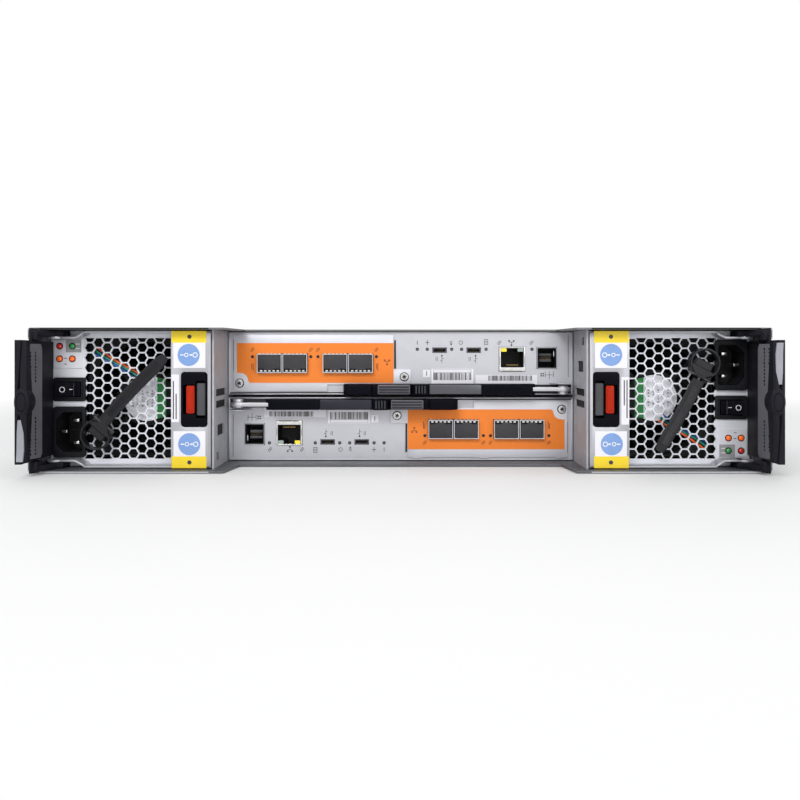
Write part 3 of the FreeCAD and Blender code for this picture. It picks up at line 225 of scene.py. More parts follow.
LENSES = {  # colour, roughness, mottle change, coat, glow
    "lens_red": ((0.55, 0.015, 0.01), 0.15, 0.2, 0.6, (0.8, 0.02, 0.01, 0.10)),
    "lens_green": ((0.02, 0.26, 0.05), 0.15, 0.2, 0.6, (0.02, 0.4, 0.05, 0.08)),
    "lens_orange": ((0.90, 0.13, 0.01), 0.15, 0.15, 0.6, (1, 0.15, 0.01, 0.25)),
    "lens_yellow": ((0.80, 0.62, 0.02), 0.2, 0.1, 0.5, (0.9, 0.7, 0.02, 0.3)),
    "lens_clear": ((0.35, 0.42, 0.38), 0.2, 0.1, 0.5),
}
FINISHES = {}
for make_finish, looks in ((sheet_metal, SHEETS), (moulded, MOULDED), (coated, COATED), (lens, LENSES)):
    for finish, look in looks.items():
        FINISHES[finish] = make_finish(finish, *look).material


# ---------------------------------------------------------------- outlines and spans

def place_on(axis, across, up, along):
    """A point drawn across an axis, as a vector."""
    if axis == "x":
        return Vector((along, across, up))
    if axis == "y":
        return Vector((across, along, up))
    return Vector((across, up, along))


def spans(node):
    """Where a CAD node starts and ends along x, y and z, in millimetres."""
    return tuple((low / MM, high / MM) for low, high in zip(*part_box(node)))


def grown(span, by):
    """A span, longer at both ends."""
    return span[0] - by, span[1] + by


def around(middle, half):
    """A span about its middle."""
    return middle - half, middle + half


def corners(x, z):
    """Outline of a rectangle."""
    return [(x[0], z[0]), (x[1], z[0]), (x[1], z[1]), (x[0], z[1])]


def rounded(x, z, radius, steps=5, inset=0.0):
    """Outline of a rectangle with round corners, drawn in by an inset."""
    (left, right), (low, high) = grown(grown(x, -inset), -radius), grown(grown(z, -inset), -radius)
    outline = []
    for centre, start in (((right, high), 0), ((left, high), 90), ((left, low), 180), ((right, low), 270)):
        outline += round_outline(centre, radius, steps, start, 90)
    return outline


def round_outline(centre, radius, sides=24, start=0.0, sweep=360.0):
    """Points round a circle or an arc of it."""
    count = sides if sweep >= 360 else sides + 1
    turns = [math.radians(start + sweep * step / sides) for step in range(count)]
    return [(centre[0] + radius * math.cos(turn), centre[1] + radius * math.sin(turn)) for turn in turns]


def shrunk(outline, centre, across, up):
    """An outline drawn in towards a centre."""
    return [(centre[0] + (x - centre[0]) * across, centre[1] + (z - centre[1]) * up) for x, z in outline]


def flat_ring(points, height):
    """A ring of (x, y) points at one height."""
    return [(across, along, height) for across, along in points]


def oval(centre, y, across, up):
    """A ring round a centre, seen along Y."""
    return [(centre[0] + across * x, y, centre[1] + up * z) for x, z in round_outline((0, 0), 1, 36)]


def crosswise(ahead):
    """The direction across a path that runs in an upright plane."""
    return Vector((-ahead.z, 0, ahead.x))


def heading(path, index):
    """The direction of a path at one of its points."""
    return (path[min(index + 1, len(path) - 1)] - path[max(index - 1, 0)]).normalized()


def smooth_path(points, steps):
    """A Catmull-Rom curve through points."""
    path = [Vector(point) for point in points]
    padded = [path[0] * 2 - path[1], *path, path[-1] * 2 - path[-2]]
    curve = []
    for index in range(1, len(padded) - 2):
        a, b, c, d = padded[index - 1:index + 3]
        for step in range(steps):
            t = step / steps
            curve.append(0.5 * ((2 * b) + (c - a) * t + (2 * a - 5 * b + 4 * c - d) * t ** 2
                                + (3 * b - a - 3 * c + d) * t ** 3))
    curve.append(path[-1])
    return curve


# ---------------------------------------------------------------- mesh building

class Piece:
    """A mesh under construction, in millimetres; turned pieces end up half a turn round."""

    def __init__(self, name, turned=False):
        self.name = name
        self.turned = turned
        self.mesh = bmesh.new()
        self.finishes = []

    def add(self, part, finish, bevel=0.0, segments=2):
        """Takes over a part's faces, with its edges eased and its finish set."""
        bmesh.ops.remove_doubles(part, verts=part.verts, dist=1e-4)
        bmesh.ops.recalc_face_normals(part, faces=part.faces)
        if bevel:
            edges = [edge for edge in part.edges
                     if len(edge.link_faces) == 2 and edge.calc_face_angle(0) > EASED_FROM]
            bmesh.ops.bevel(part, geom=edges, offset=bevel, segments=segments, profile=0.5,
                            affect="EDGES", clamp_overlap=True)
        if finish not in self.finishes:
            self.finishes.append(finish)
        index = self.finishes.index(finish)
        for face in part.faces:
            face.smooth = True
            face.material_index = index
        for edge in part.edges:
            if len(edge.link_faces) != 2 or edge.calc_face_angle(0) > CREASED_FROM:
                edge.smooth = False
        carrier = bpy.data.meshes.new("carrier")
        part.to_mesh(carrier)
        part.free()
        self.mesh.from_mesh(carrier)
        bpy.data.meshes.remove(carrier)

    def box(self, x, y, z, finish, bevel=0.0, segments=2):
        """A block between two places on each axis."""
        part = bmesh.new()
        bmesh.ops.create_cube(part, size=1)
        for vert in part.verts:
            vert.co = Vector([low + (high - low) * (share + 0.5)
                              for share, (low, high) in zip(vert.co, (x, y, z))])
        self.add(part, finish, bevel, segments)

    def prism(self, outline, axis, span, finish, bevel=0.0, segments=2, holes=()):
        """An outline drawn across an axis, and extruded along it; axis x takes (y, z) pairs,
        axis y takes (x, z) pairs and axis z takes (x, y) pairs."""
        part = bmesh.new()
        edges = []
        for loop in (outline, *holes):
            verts = [part.verts.new(place_on(axis, across, up, span[0])) for across, up in loop]
            edges += [part.edges.new((verts[i - 1], verts[i])) for i in range(len(verts))]
        if holes:
            bmesh.ops.triangle_fill(part, use_beauty=True, use_dissolve=True, edges=edges)
        else:
            part.faces.new(part.verts)
        moved = bmesh.ops.extrude_face_region(part, geom=list(part.faces))
        new_verts = [item for item in moved["geom"] if isinstance(item, bmesh.types.BMVert)]
        bmesh.ops.translate(part, verts=new_verts, vec=place_on(axis, 0, 0, span[1] - span[0]))
        self.add(part, finish, bevel, segments)

    def loft(self, sections, finish, bevel=0.0):
        """A closed skin through rings of points that all have as many points."""
        part = bmesh.new()
        rings = [[part.verts.new(Vector(point)) for point in section] for section in sections]
        count = len(rings[0])
        for low, high in zip(rings, rings[1:]):
            for step in range(count):
                following = (step + 1) % count
                part.faces.new((low[step], low[following], high[following], high[step]))
        part.faces.new(rings[0])
        part.faces.new(rings[-1])
        self.add(part, finish, bevel)

    def lathe(self, profile, centre, axis, finish, sides=32):
        """A closed turned shape: profile holds (radius, distance along the axis) pairs."""
        sections = [[Vector(centre) + place_on(axis, across, up, along)
                     for across, up in round_outline((0, 0), radius, sides)] for radius, along in profile]
        self.loft(sections, finish)

    def tube(self, path, radius, finish, sides):
        """A round bar that follows a path."""
        sections = []
        for index, point in enumerate(path):
            ahead = heading(path, index)
            aside = ahead.cross(Vector((0, 1, 0))).normalized()
            up = aside.cross(ahead).normalized()
            sections.append([point + aside * across + up * rise
                             for across, rise in round_outline((0, 0), radius, sides)])
        self.loft(sections, finish)

    def row(self, first, count, spacing, size, finish, variation=0.0, bevel=0.0):
        """A row of like blocks, from the centre of the first; variation shortens some along x."""
        part = bmesh.new()
        mesh = row_mesh("row_" + self.name, count, spacing, size, finish, variation)
        part.from_mesh(mesh)
        bpy.data.meshes.remove(mesh)
        bmesh.ops.translate(part, verts=part.verts, vec=Vector(first))
        self.add(part, finish, bevel, 1)

    def mark(self, x, y, z, finish="ink", thick=0.06):
        """A printed field that stands a hair before a face at y."""
        self.box(x, (y - thick, y), z, finish)

    def ring(self, centre, y, radius, width, finish="ink", thick=0.06, sides=24):
        """A printed circle."""
        inner = round_outline(centre, radius - width, sides)
        outer = round_outline(centre, radius, sides)
        self.prism(outer, "y", (y - thick, y), finish, holes=[inner])

    def done(self, body, replaces=()):
        """Turns it into an object that rides on its body."""
        for vert in self.mesh.verts:
            if self.turned:
                vert.co = Vector((-vert.co.x, vert.co.y, SHELF_HEIGHT - vert.co.z))
            vert.co *= MM
        data = bpy.data.meshes.new(self.name)
        self.mesh.to_mesh(data)
        self.mesh.free()
        for finish in self.finishes:
            data.materials.append(FINISHES[finish])
        made = bpy.data.objects.new(self.name, data)
        bpy.context.scene.collection.objects.link(made)
        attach(made, body)
        if replaces:
            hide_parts(*replaces)


# ---------------------------------------------------------------- repeats

ROW_INPUTS = (("Count", "Int"), ("Spacing", "Vector"), ("Size", "Vector"), ("Variation", "Float"))


def row_tree(name, finish):
    """A Geometry Nodes tree for a row of like blocks, such as contacts, ribs or bars."""
    tree = bpy.data.node_groups.new(name, "GeometryNodeTree")
    for socket, kind in ROW_INPUTS:
        tree.interface.new_socket(socket, in_out="INPUT", socket_type="NodeSocket" + kind)
    tree.interface.new_socket("Geometry", in_out="OUTPUT", socket_type="NodeSocketGeometry")
    given = tree.nodes.new("NodeGroupInput").outputs
    line = add_node(tree, "GeometryNodeMeshLine",
                    {"Count": given["Count"], "Offset": given["Spacing"]}, mode="OFFSET")
    block = add_node(tree, "GeometryNodeMeshCube", {"Size": (1, 1, 1)})
    least = add_node(tree, "ShaderNodeMath", {0: 1.0, 1: given["Variation"]}, operation="SUBTRACT")
    chance = add_node(tree, "FunctionNodeRandomValue", {"Seed": 7}, data_type="FLOAT")
    lower_bound = next(socket for socket in chance.inputs if socket.type == "VALUE" and socket.enabled)
    tree.links.new(least.outputs[0], lower_bound)
    drawn = next(socket for socket in chance.outputs if socket.enabled)
    stretch = add_node(tree, "ShaderNodeCombineXYZ", {"X": drawn, "Y": 1.0, "Z": 1.0})
    sized = add_node(tree, "ShaderNodeVectorMath", {0: stretch.outputs[0], 1: given["Size"]},
                     operation="MULTIPLY")
    placed = add_node(tree, "GeometryNodeInstanceOnPoints", {
        "Points": line.outputs["Mesh"], "Instance": block.outputs["Mesh"], "Scale": sized.outputs[0]})
    real = add_node(tree, "GeometryNodeRealizeInstances", {"Geometry": placed.outputs["Instances"]})
    coloured = add_node(tree, "GeometryNodeSetMaterial", {
        "Geometry": real.outputs["Geometry"], "Material": FINISHES[finish]})
    add_node(tree, "NodeGroupOutput", {"Geometry": coloured.outputs["Geometry"]})
    return tree


def row_mesh(name, count, spacing, size, finish, variation):
    """Evaluates a row once, and hands back its plain mesh, in millimetres."""
    tree = row_tree(name, finish)
    holder = bpy.data.objects.new(name, bpy.data.meshes.new(name))
    bpy.context.scene.collection.objects.link(holder)
    modifier = holder.modifiers.new("Row", "NODES")
    modifier.node_group = tree
    wanted = {"Count": count, "Spacing": spacing, "Size": size, "Variation": variation}
    for item in tree.interface.items_tree:
        if item.item_type == "SOCKET" and item.in_out == "INPUT":
            modifier[item.identifier] = wanted[item.name]
    bpy.context.view_layer.update()
    seen = holder.evaluated_get(bpy.context.evaluated_depsgraph_get())
    mesh = bpy.data.meshes.new_from_object(seen)
    bpy.data.objects.remove(holder)
    return mesh


# ---------------------------------------------------------------- carried-over CAD pieces

ENCLOSURE_FINISHES = {
    "chassis_tray": "dark_sheet", "top_cover": "cover_sheet", "bay_dividers": "divider_sheet",
    "controller_shelf": "dark_sheet", "drive_cage": "dark_sheet", "midplane_board": "board_green",
    "midplane_connectors": "black_plastic", "rack_ears": "ear_paint",
}
MODULE_FINISHES = {
    "case": "bright_sheet", "grille": "panel_sheet", "fan_housing": "fan_plastic",
    "fan_leads": "wire_orange", "fan_rotor": "fan_plastic", "inlet": "socket_plastic",
    "switch_frame": "socket_plastic", "switch_rocker": "black_plastic", "grip": "grip_plastic",
    "handle": "handle_sheet", "latch": "black_plastic", "trigger": "trigger_red",
    "strap": "strap_nylon",
}
CONTROLLER_FINISHES = {
    "case": "bright_sheet", "card_bracket": "orange_paint", "port_cages": "cut_edge",
    "dust_plugs": "plug_rubber", "ports": "brushed_plate", "lever": "black_plastic",
    "lever_catch": "brushed_plate",
}


def dress(prefix, finishes):
    """Gives CAD nodes their finishes."""
    for node, finish in finishes.items():
        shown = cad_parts[prefix + node]
        shown.data.materials.clear()
        shown.data.materials.append(FINISHES[finish])
        for face in shown.data.polygons:
            face.material_index = 0


dress("", ENCLOSURE_FINISHES)
for side, _ in SIDES:
    dress(f"power_{side}_", MODULE_FINISHES)
for level, _ in LEVELS:
    dress(f"controller_{level}_", CONTROLLER_FINISHES)
dress("drive_", {f"{number:02d}": "bezel_plastic" for number in DRIVES})


# ---------------------------------------------------------------- power module

def make_lamps(side, turned):
    """Indicator lenses in the raised field of the panel, their small printed keys, and a screw."""
    name = f"power_{side}"
    piece = Piece(f"{name}_lamps", turned)
    front = spans("power_left_grille")[1][0]
    piece.mark((-210.4, -200.6), front, (73.0, 80.7), "grey_label", 0.12)
    dome = [(1.62, 1.2), (1.62, -0.1), (1.45, -0.65), (1.0, -1.05), (0.5, -1.22), (0.02, -1.26)]
    for height, lenses in ((76.9, ("lens_red", "lens_green")), (68.9, ("lens_orange", "lens_orange"))):
        for across, finish in zip((-214.3, -206.3), lenses):
            piece.lathe(dome, (across, front, height), "y", finish, 24)
            piece.ring((across, height), front, 2.15, 0.49, "black_plastic", 0.14, 28)
    for across, height in ((-210.4, 69.2), (-210.6, 65.6)):
        piece.mark(around(across, 0.9), front, around(height, 0.2))
    for height in (75.2, 78.0):
        piece.mark((-204.2, -201.6), front - 0.12, (height, height + 0.4), "white_ink")
    screw_head(piece, (-216.6, front + 0.5, 5.3), 1.5, 0.9)
    piece.done(name)


def screw_head(piece, centre, radius, out):
    """A pan head seen from outside, at out along -Y, with its cross recess as dark slots."""
    x, y, z = centre
    profile = [(radius, 0), (radius, -out * 0.45), (radius * 0.93, -out * 0.75),
               (radius * 0.72, -out * 0.95), (radius * 0.35, -out), (0.02, -out)]
    piece.lathe(profile, centre, "y", "screw_steel", 24)
    reach, width = radius * 0.62, radius * 0.16
    for across, up in ((reach, width), (width, reach)):
        piece.box(around(x, across), (y - out - 0.03, y - out * 0.6), around(z, up), "shadow")


def make_inlet(side, turned):
    """Mains inlet: flanged housing, chamfered socket and three nickelled blades."""
    name = f"power_{side}"
    x, y, z = spans("power_left_inlet")
    centre = (sum(x) / 2, sum(z) / 2)
    piece = Piece(f"{name}_inlet_detail", turned)
    (left, right), (low, high), corner = around(centre[0], 8.2), around(centre[1], 12.5), 4.6
    mouth = [(left + corner, low), (right - 1, low), (right, low + 1), (right, high - 1),
             (right - 1, high), (left + corner, high), (left, high - corner), (left, low + corner)]
    flange = rounded(x, z, 2.2)
    piece.prism(flange, "y", (y[0] + 0.02, y[0] + 1.8), "socket_plastic", 0.3, holes=[mouth])
    shell = rounded(x, z, 1, inset=1.9)
    piece.prism(shell, "y", (y[0] + 1.7, y[0] + 17.8), "socket_plastic", holes=[mouth])
    piece.box(grown(x, -2), (y[0] + 17.6, y[1]), grown(z, -2), "shadow")
    lip = shrunk(mouth, centre, 0.97, 0.97)
    piece.prism(mouth, "y", (y[0] + 0.9, y[0] + 1.5), "black_plastic", holes=[lip])
    for across, up in ((3, 7), (3, -7), (-4.6, 0)):
        piece.box(around(centre[0] + across, 2), (y[0] + 3.1, y[0] + 17.9), around(centre[1] + up, 1),
                  "blade_nickel", 0.45, 3)
    piece.done(name, [f"{name}_inlet"])


def make_switch(side, turned):
    """Snap-in switch frame with a stepped rim, and its rocker with a ring and a bar."""
    name = f"power_{side}"
    x, y, z = spans("power_left_switch_frame")
    piece = Piece(f"{name}_switch_detail", turned)
    well = rounded(x, z, 0.5, inset=2.6)
    for inset, radius, start, end, bevel in (
            (0, 1.3, y[0] + 0.5, y[0] + 1.6, 0.2), (1.7, 0.8, y[0] + 0.01, y[0] + 0.8, 0.2),
            (1.9, 0.6, y[0] + 1.5, y[1], 0.0)):
        outline = rounded(x, z, radius, inset=inset)
        piece.prism(outline, "y", (start, end), "socket_plastic", bevel, holes=[well])
    piece.box(grown(x, -2.2), (y[1] - 1.6, y[1] - 0.2), grown(z, -2.2), "shadow")
    piece.done(name, [f"{name}_switch_frame"])

    rocker = Piece(f"{name}_rocker_detail", turned)
    x, y, z = spans("power_left_switch_rocker")
    z = grown(z, -0.3)
    centre, middle_z = sum(x) / 2, sum(z) / 2
    face, raised = y[0] + 1.9, y[0] + 0.5
    outline = [
        (x[0], y[0]), (x[0] + 1.0, raised), (x[0] + 5.2, raised + 0.25), (centre + 0.6, face + 0.68),
        (centre + 0.9, face + 0.95), (x[1] - 2.2, face + 0.98), (x[1], face + 0.9),
        (x[1] - 1.2, face + 6), (centre, y[1]), (x[0] + 0.4, face + 4),
    ]
    rocker.prism(outline, "z", z, "black_plastic", 0.2)
    rocker.ring((x[0] + 3.05, middle_z), raised + 0.1, 1.75, 0.42, "white_ink", 0.12)
    rocker.box((centre - 0.2, centre + 1.9), (face + 0.2, face + 1.0), around(middle_z, 0.2), "white_ink")
    rocker.box((centre + 2.5, centre + 2.7), (face + 0.86, face + 1.0), grown(z, -0.3), "finger_grey")
    rocker.done(f"rocker_{side}", [f"{name}_switch_rocker"])


def make_grip(side, turned):
    """Moulded side grip: outer strip, spine, thumb boss, corner posts, pivot lugs and side panel."""
    name = f"power_{side}"
    x, y, _ = spans("power_left_grip")
    piece = Piece(f"{name}_grip_detail", turned)
    outer, rear = x[0], y[0]
    shoulder = rear + 17.6
    low, high = 8.4, 79.6

    strip, lip = [], []
    for step in range(15):
        share = step / 14
        swell = 0.9 * math.sin(math.pi * share) ** 0.5 if 0 < share < 1 else 0.0
        edge = rear + 0.25 + 1.5 * (1 - math.sin(math.pi * share)) ** 2
        waist = 0.55 * math.cos(share * math.tau)
        inner = outer + 3.6 + swell
        strip.append(flat_ring([
            (outer + 0.02, edge + 2.0), (outer + 0.5, edge + 0.6), (outer + 1.5, edge),
            (inner - 1.3, edge + 0.1), (inner - 0.3, edge + 0.9), (inner, edge + 2.4),
            (inner - 0.4 - waist * 0.4, edge + 7.5), (inner - 1.2, shoulder - 3.2),
            (inner - 1.4, shoulder), (outer + 0.02, shoulder), (outer + 0.02, shoulder - 4),
            (outer + 0.35 + waist * 0.25, rear + 9),
        ], low + (high - low) * share))
        waist = 0.9 * math.cos(share * math.tau) - 0.5
        edge = rear + 0.3
        lip.append(flat_ring([
            (outer - 2.9, edge + 1.1), (outer - 2.3, edge + 0.2), (outer - 0.6, edge),
            (outer + 0.6 + waist, edge + 0.1), (outer + 1.0 + waist, edge + 1.4), (outer + 0.4, edge + 9),
            (outer + 0.1, edge + 16.6), (outer - 1.6, edge + 16.6), (outer - 2.6, edge + 9),
        ], low - 0.6 + (high - low + 1.2) * share))
    piece.loft(strip, "grip_plastic")
    piece.loft(lip, "grip_plastic")
    # Pale patches on the lower half of the strip: a painted highlight where the curved strip catches the
    # lamps.
    highlight_patches = [flat_ring(corners((outer + left, outer + right), (rear + 0.1, rear + 0.9)), place)
            for place, left, right in ((9.4, -1.3, 2.4), (16, -1.0, 3.1), (26, -0.9, 3.0), (33.6, -0.4, 1.4))]
    piece.loft(highlight_patches, "grip_worn")

    spine = [
        (outer, shoulder - 6.4), (outer + 1.0, shoulder - 6.9), (-219.0, shoulder - 5.6),
        (-218.5, shoulder - 3.4), (-218.42, shoulder - 0.1), (outer, shoulder - 0.1),
    ]
    piece.prism(spine, "z", (0.6, 87.4), "grip_plastic", 0.35)
    piece.box((-219.58, -218.42), (shoulder - 1, -295.02), (low + 0.1, high - 0.1), "grip_plastic", 0.2)

    boss = (outer + 1.5, MIDDLE)
    dome = ((12.0, 0.62), (9.0, 0.8), (5.0, 0.97), (2.4, 1.0), (0.9, 0.95), (0.25, 0.84), (0.05, 0.7))
    piece.loft([oval(boss, rear + depth, 4.7 * share, 8.9 * share) for depth, share in dome], "grip_plastic")
    dish = ((0.3, 5.6), (0.02, 5.6), (0.0, 5.0), (0.3, 5.0))
    piece.loft([oval(boss, rear + depth, reach * 0.52, reach) for depth, reach in dish], "black_plastic")

    post = [(outer + 0.05, rear + 13), (outer + 3.2, rear + 10.6), (outer + 5.0, rear + 11.6),
            (outer + 5.0, shoulder - 0.2), (outer + 0.05, shoulder - 0.2)]
    root = -219.6
    lug = [(root, -295.02), (root + 12, -295.02), (root + 12, PIN_Y), (root + 11.3, -303.6),
           (root + 8.6, -305.0), (root + 2.5, shoulder - 6.4), (outer + 0.4, shoulder - 6.4),
           (outer + 0.4, shoulder), (root, shoulder)]
    for level, near, pin in ((-1, 1.6, 4.9), (1, 83.0, 81.3)):
        ends = sorted((MIDDLE + 35.8 * level, MIDDLE + 42.2 * level))
        piece.prism(post, "z", grown(ends, -0.3), "grip_plastic", 0.7, 3)
        piece.prism(lug, "z", (near + 0.02, near + 3.38), "grip_plastic", 0.3)
        piece.lathe([(1.58, 0), (1.58, 1.8)], (PIN_X, PIN_Y, pin), "z", "screw_steel", 24)

    near_side, far_side = rear + 3.2, rear + 13.4
    panel = [flat_ring([
        (outer + 1.0 + waist, near_side), (outer + 2.7 + waist, near_side - 0.5),
        (outer + 6.5 + waist, far_side - 0.6), (outer + 6.7 + waist, far_side + 0.4),
        (outer + 1.0 + waist, far_side + 0.4),
    ], place) for place, waist in (
        (low + 1.6, -0.8), (low + 4.5, 0.0), (high - 4.5, 0.0), (high - 1.6, -0.8))]
    piece.loft(panel, "grip_side")
    for share in (0.32, 0.64):
        across, back = outer + 2.7 + 3.8 * share, near_side - 0.5 + 10.1 * share
        for first, count in ((13.0, 11), (56.0, 9)):
            piece.row((across, back, first), count, (0, 0, 2.1), (0.9, 0.7, 1.3), "grip_plastic", 0.6, 0.1)
    piece.done(name, [f"{name}_grip"])


def make_handle(side, turned):
    """Bent steel handle: its pressed plate, round folds, jogged arms and eyes, and its labels."""
    name = f"power_{side}"
    thick = 1.2
    x, y, _ = spans("power_left_handle")
    z = (1.75, 86.3)
    right, front = x[1], y[0]
    left = right - 24.4
    piece = Piece(f"{name}_handle_detail", turned)
    window = rounded((right - 18.3, right - 1.9), (27.0, 61.0), 2.2)
    plate = [(left + 1.2, z[0] + 1.0), (right - 0.8, z[0] + 1.0), (right, z[0] + 1.8),
             (right, z[1] - 1.8), (right - 0.8, z[1] - 1.0), (left + 1.2, z[1] - 1.0),
             (left, z[1] - 2.2), (left, z[0] + 2.2)]
    piece.prism(plate, "y", (front, front + thick), "handle_sheet", 0.12, holes=[window])

    fold, quarter = 2.0, [math.radians(15 * step) for step in range(7)]
    bend = [(fold, turn) for turn in quarter] + [(fold - thick, turn) for turn in reversed(quarter)]
    eye = round_outline((PIN_X, PIN_Y + 0.15), 5.0, 32)
    pin = round_outline((PIN_X, PIN_Y), 1.9, 24)
    for level, edge in ((-1, z[0]), (1, z[1])):
        near = MIDDLE + 38.6 * level
        path = [(PIN_X, near), (-201.6, near), (-200.4, near + 0.15 * level), (-198.7, near + 1.15 * level),
                (-196.6, near + 2.3 * level), (-195.2, edge), (-193.5, edge), (right - 0.2, edge)]
        under = [(across, up - thick * level) for across, up in path]
        under[3] = (path[3][0] + 0.55, path[3][1] - 1.1 * level)
        under[4] = (path[4][0] + 0.5, path[4][1] - 1.12 * level)
        piece.prism(path + under[::-1], "y", (front + 1.9, y[1] - 0.02), "handle_sheet", 0.1)
        section = [(front + fold - reach * math.sin(turn), edge - (fold - reach * math.cos(turn)) * level)
                   for reach, turn in bend]
        piece.prism(section, "x", (left + 1.2, right - 0.8), "handle_sheet")
        base = near - thick if level > 0 else near
        piece.prism(eye, "z", (base, base + thick), "handle_sheet", 0.1, holes=[pin])

    for level in (-1, 1):
        band = sorted((MIDDLE + 42.1 * level, MIDDLE + 34.9 * level))
        field = sorted((MIDDLE + 34.9 * level, MIDDLE + 19.4 * level))
        piece.mark((left + 0.4, right - 2.6), front, band, "yellow_label", 0.1)
        piece.mark((left + 1.6, right - 3.2), front, field, "white_label", 0.1)
        disc_x, disc_z = left + (11.3 if level < 0 else 10.9), MIDDLE + 27.4 * level
        printed = front - 0.16
        piece.prism(round_outline((disc_x, disc_z), 6.8, 40), "y", (printed, front - 0.1), "blue_label")
        for start, end, half, ring_x, radius, width in (
                (-5.2, -3.0, 0.3, -1.4, 1.3, 0.45), (0.6, 2.2, 0.45, 4.0, 1.6, 0.5)):
            piece.mark((disc_x + start, disc_x + end), printed, around(disc_z, half), "white_ink", 0.04)
            piece.ring((disc_x + ring_x, disc_z), printed, radius, width, "white_ink", 0.04)
        dot = round_outline((left + 11.4, MIDDLE + 38.6 * level), 1.3, 20)
        piece.prism(dot, "y", (printed, front - 0.1), "ink")
    piece.mark((left + 0.3, left + 5.0), front, (30.2, 59.4), "white_label", 0.1)
    for start, length in ((left + 1.2, 23.4), (left + 2.9, 15.6)):
        piece.mark((start, start + 0.7), front - 0.1, (32, 32 + length), "ink", 0.03)
    piece.done(f"handle_{side}", [f"{name}_handle"])


def make_latch(side, turned):
    """Latch housing with its finger bar, and the red trigger with its raised pad."""
    name = f"power_{side}"
    (_, right), y, _ = spans("power_left_latch")
    x, z = (right - 15.8, right), (27.3, 60.7)
    trigger_x, trigger_y, trigger_z = spans("power_left_trigger")
    piece = Piece(f"{name}_latch_detail", turned)
    well = rounded((trigger_x[0] - 2.1, trigger_x[1] + 0.35), grown(trigger_z, 0.45), 0.8)
    finger = rounded((trigger_x[1] + 0.75, right - 0.8), grown(trigger_z, 3.0), 1.0)
    mouths = [well, finger]
    piece.prism(rounded(x, z, 2.6), "y", (y[0], y[0] + 1.25), "black_plastic", 0.35, 3, holes=mouths)
    shell = rounded(x, z, 2.2, inset=0.05)
    piece.prism(shell, "y", (y[0] + 1.2, y[0] + 5.2), "black_plastic", holes=mouths)
    piece.prism(shell, "y", (y[0] + 5.1, y[1] - 0.02), "black_plastic")
    bar = rounded((trigger_x[1] + 0.8, right - 0.9), grown(trigger_z, 1.5), 0.9)
    piece.prism(bar, "y", (y[0] + 1.4, y[0] + 5.2), "finger_grey", 0.6, 3)
    piece.done(f"handle_{side}", [f"{name}_latch"])

    trigger = Piece(f"{name}_trigger_detail", turned)
    block = rounded(trigger_x, trigger_z, 0.9)
    trigger.prism(block, "y", (trigger_y[0] + 0.5, trigger_y[1]), "trigger_red", 0.3, 3)
    pad = rounded(grown(trigger_x, -0.7), grown(trigger_z, -1.2), 0.7)
    trigger.prism(pad, "y", (trigger_y[0] + 0.02, trigger_y[0] + 0.8), "trigger_red", 0.35, 3)
    trigger.done(f"trigger_{side}", [f"{name}_trigger"])


def make_strap(side, turned):
    """Cord retaining strap: a ring, a bowed tail with fine teeth, a ratchet head and a foot."""
    name = f"power_{side}"
    _, y, _ = spans("power_left_strap")
    front = y[0]
    ring_x, ring_z = -188.9, 21.8
    piece = Piece(f"{name}_strap_detail", turned)
    outline = round_outline((ring_x, ring_z), 9.38, 44)
    bore = round_outline((ring_x, ring_z), 8.25, 44)
    piece.prism(outline, "y", (front, front + 6.0), "strap_nylon", 0.25, holes=[bore])

    if turned:
        run = ((4.0, 10.5), (11.5, 25.0), (19.5, 39.0), (28.6, 54.5))
    else:
        run = ((5.0, 8.0), (16.4, 21.2), (29.6, 35.0), (43.4, 48.6))
    path = smooth_path([(ring_x + across, front + 0.8, ring_z + up) for across, up in run], 10)
    ribbed = ((1, 0.6), (0.94, -0.5), (0.8, -0.78), (0.62, -0.78), (0.56, -0.55), (-0.56, -0.55),
              (-0.62, -0.78), (-0.8, -0.78), (-0.94, -0.5), (-1, 0.6), (-0.9, 0.78), (0.9, 0.78))
    sections = []
    for index, point in enumerate(path):
        aside = crosswise(heading(path, index))
        left_over = len(path) - 1 - index
        half = 3.95 if left_over > 3 else 2.6 + 0.45 * left_over
        sections.append([point + aside * (half * across) + Vector((0, lift, 0)) for across, lift in ribbed])
    piece.loft(sections, "strap_nylon")
    for index in range(3, len(path) - 4):
        ahead = (path[index + 1] - path[index - 1]).normalized()
        for part in (0.25, 0.75):
            place = path[index].lerp(path[index + 1], part)
            tooth = [[place + ahead * along + Vector((0, rise - 0.5, 0)) + crosswise(ahead) * end
                      for along, rise in ((-0.35, 0.0), (0.3, -0.26), (0.42, 0.0))] for end in (1.75, -1.75)]
            piece.loft(tooth, "strap_nylon")

    along = (path[3] - path[0]).normalized()
    aside = crosswise(along)
    root = Vector((ring_x, front, ring_z)) + along * 3.6
    half = 2.2
    for reach, wide, deep, lift in ((2.1, 7.4, 3.1, 0.0), (-2.4, 5.6, 4.0, 0.9)):
        outline = ((-wide, -half), (-wide + 1, -half - 0.5), (wide - 1, -half - 0.5), (wide, -half),
                   (wide, half), (wide - 1, half + 0.5), (-wide + 1, half + 0.5), (-wide, half))
        layers = [[root + along * reach + Vector((0, lift + depth, 0)) + aside * (across * (1 - trim / wide))
                   + along * (up * (1 - trim / half)) for across, up in outline]
                  for depth, trim in ((0, 0.5), (0.5, 0.0), (deep, 0.0), (deep + 0.4, 0.4))]
        piece.loft(layers, "strap_nylon")
    rail = [[root + along * reach + aside * end + Vector((0, depth, 0))
             for end, depth in ((-7.8, 0.2), (7.8, 0.2), (7.8, 1.4), (-7.8, 1.4))] for reach in (4.9, 5.5)]
    piece.loft(rail, "finger_grey")
    piece.box((ring_x - 3.4, ring_x), (front + 5, y[1]), (ring_z + 8.5, ring_z + 12.5), "strap_nylon", 0.3)
    piece.done(name, [f"{name}_strap"])


# ---------------------------------------------------------------- fan

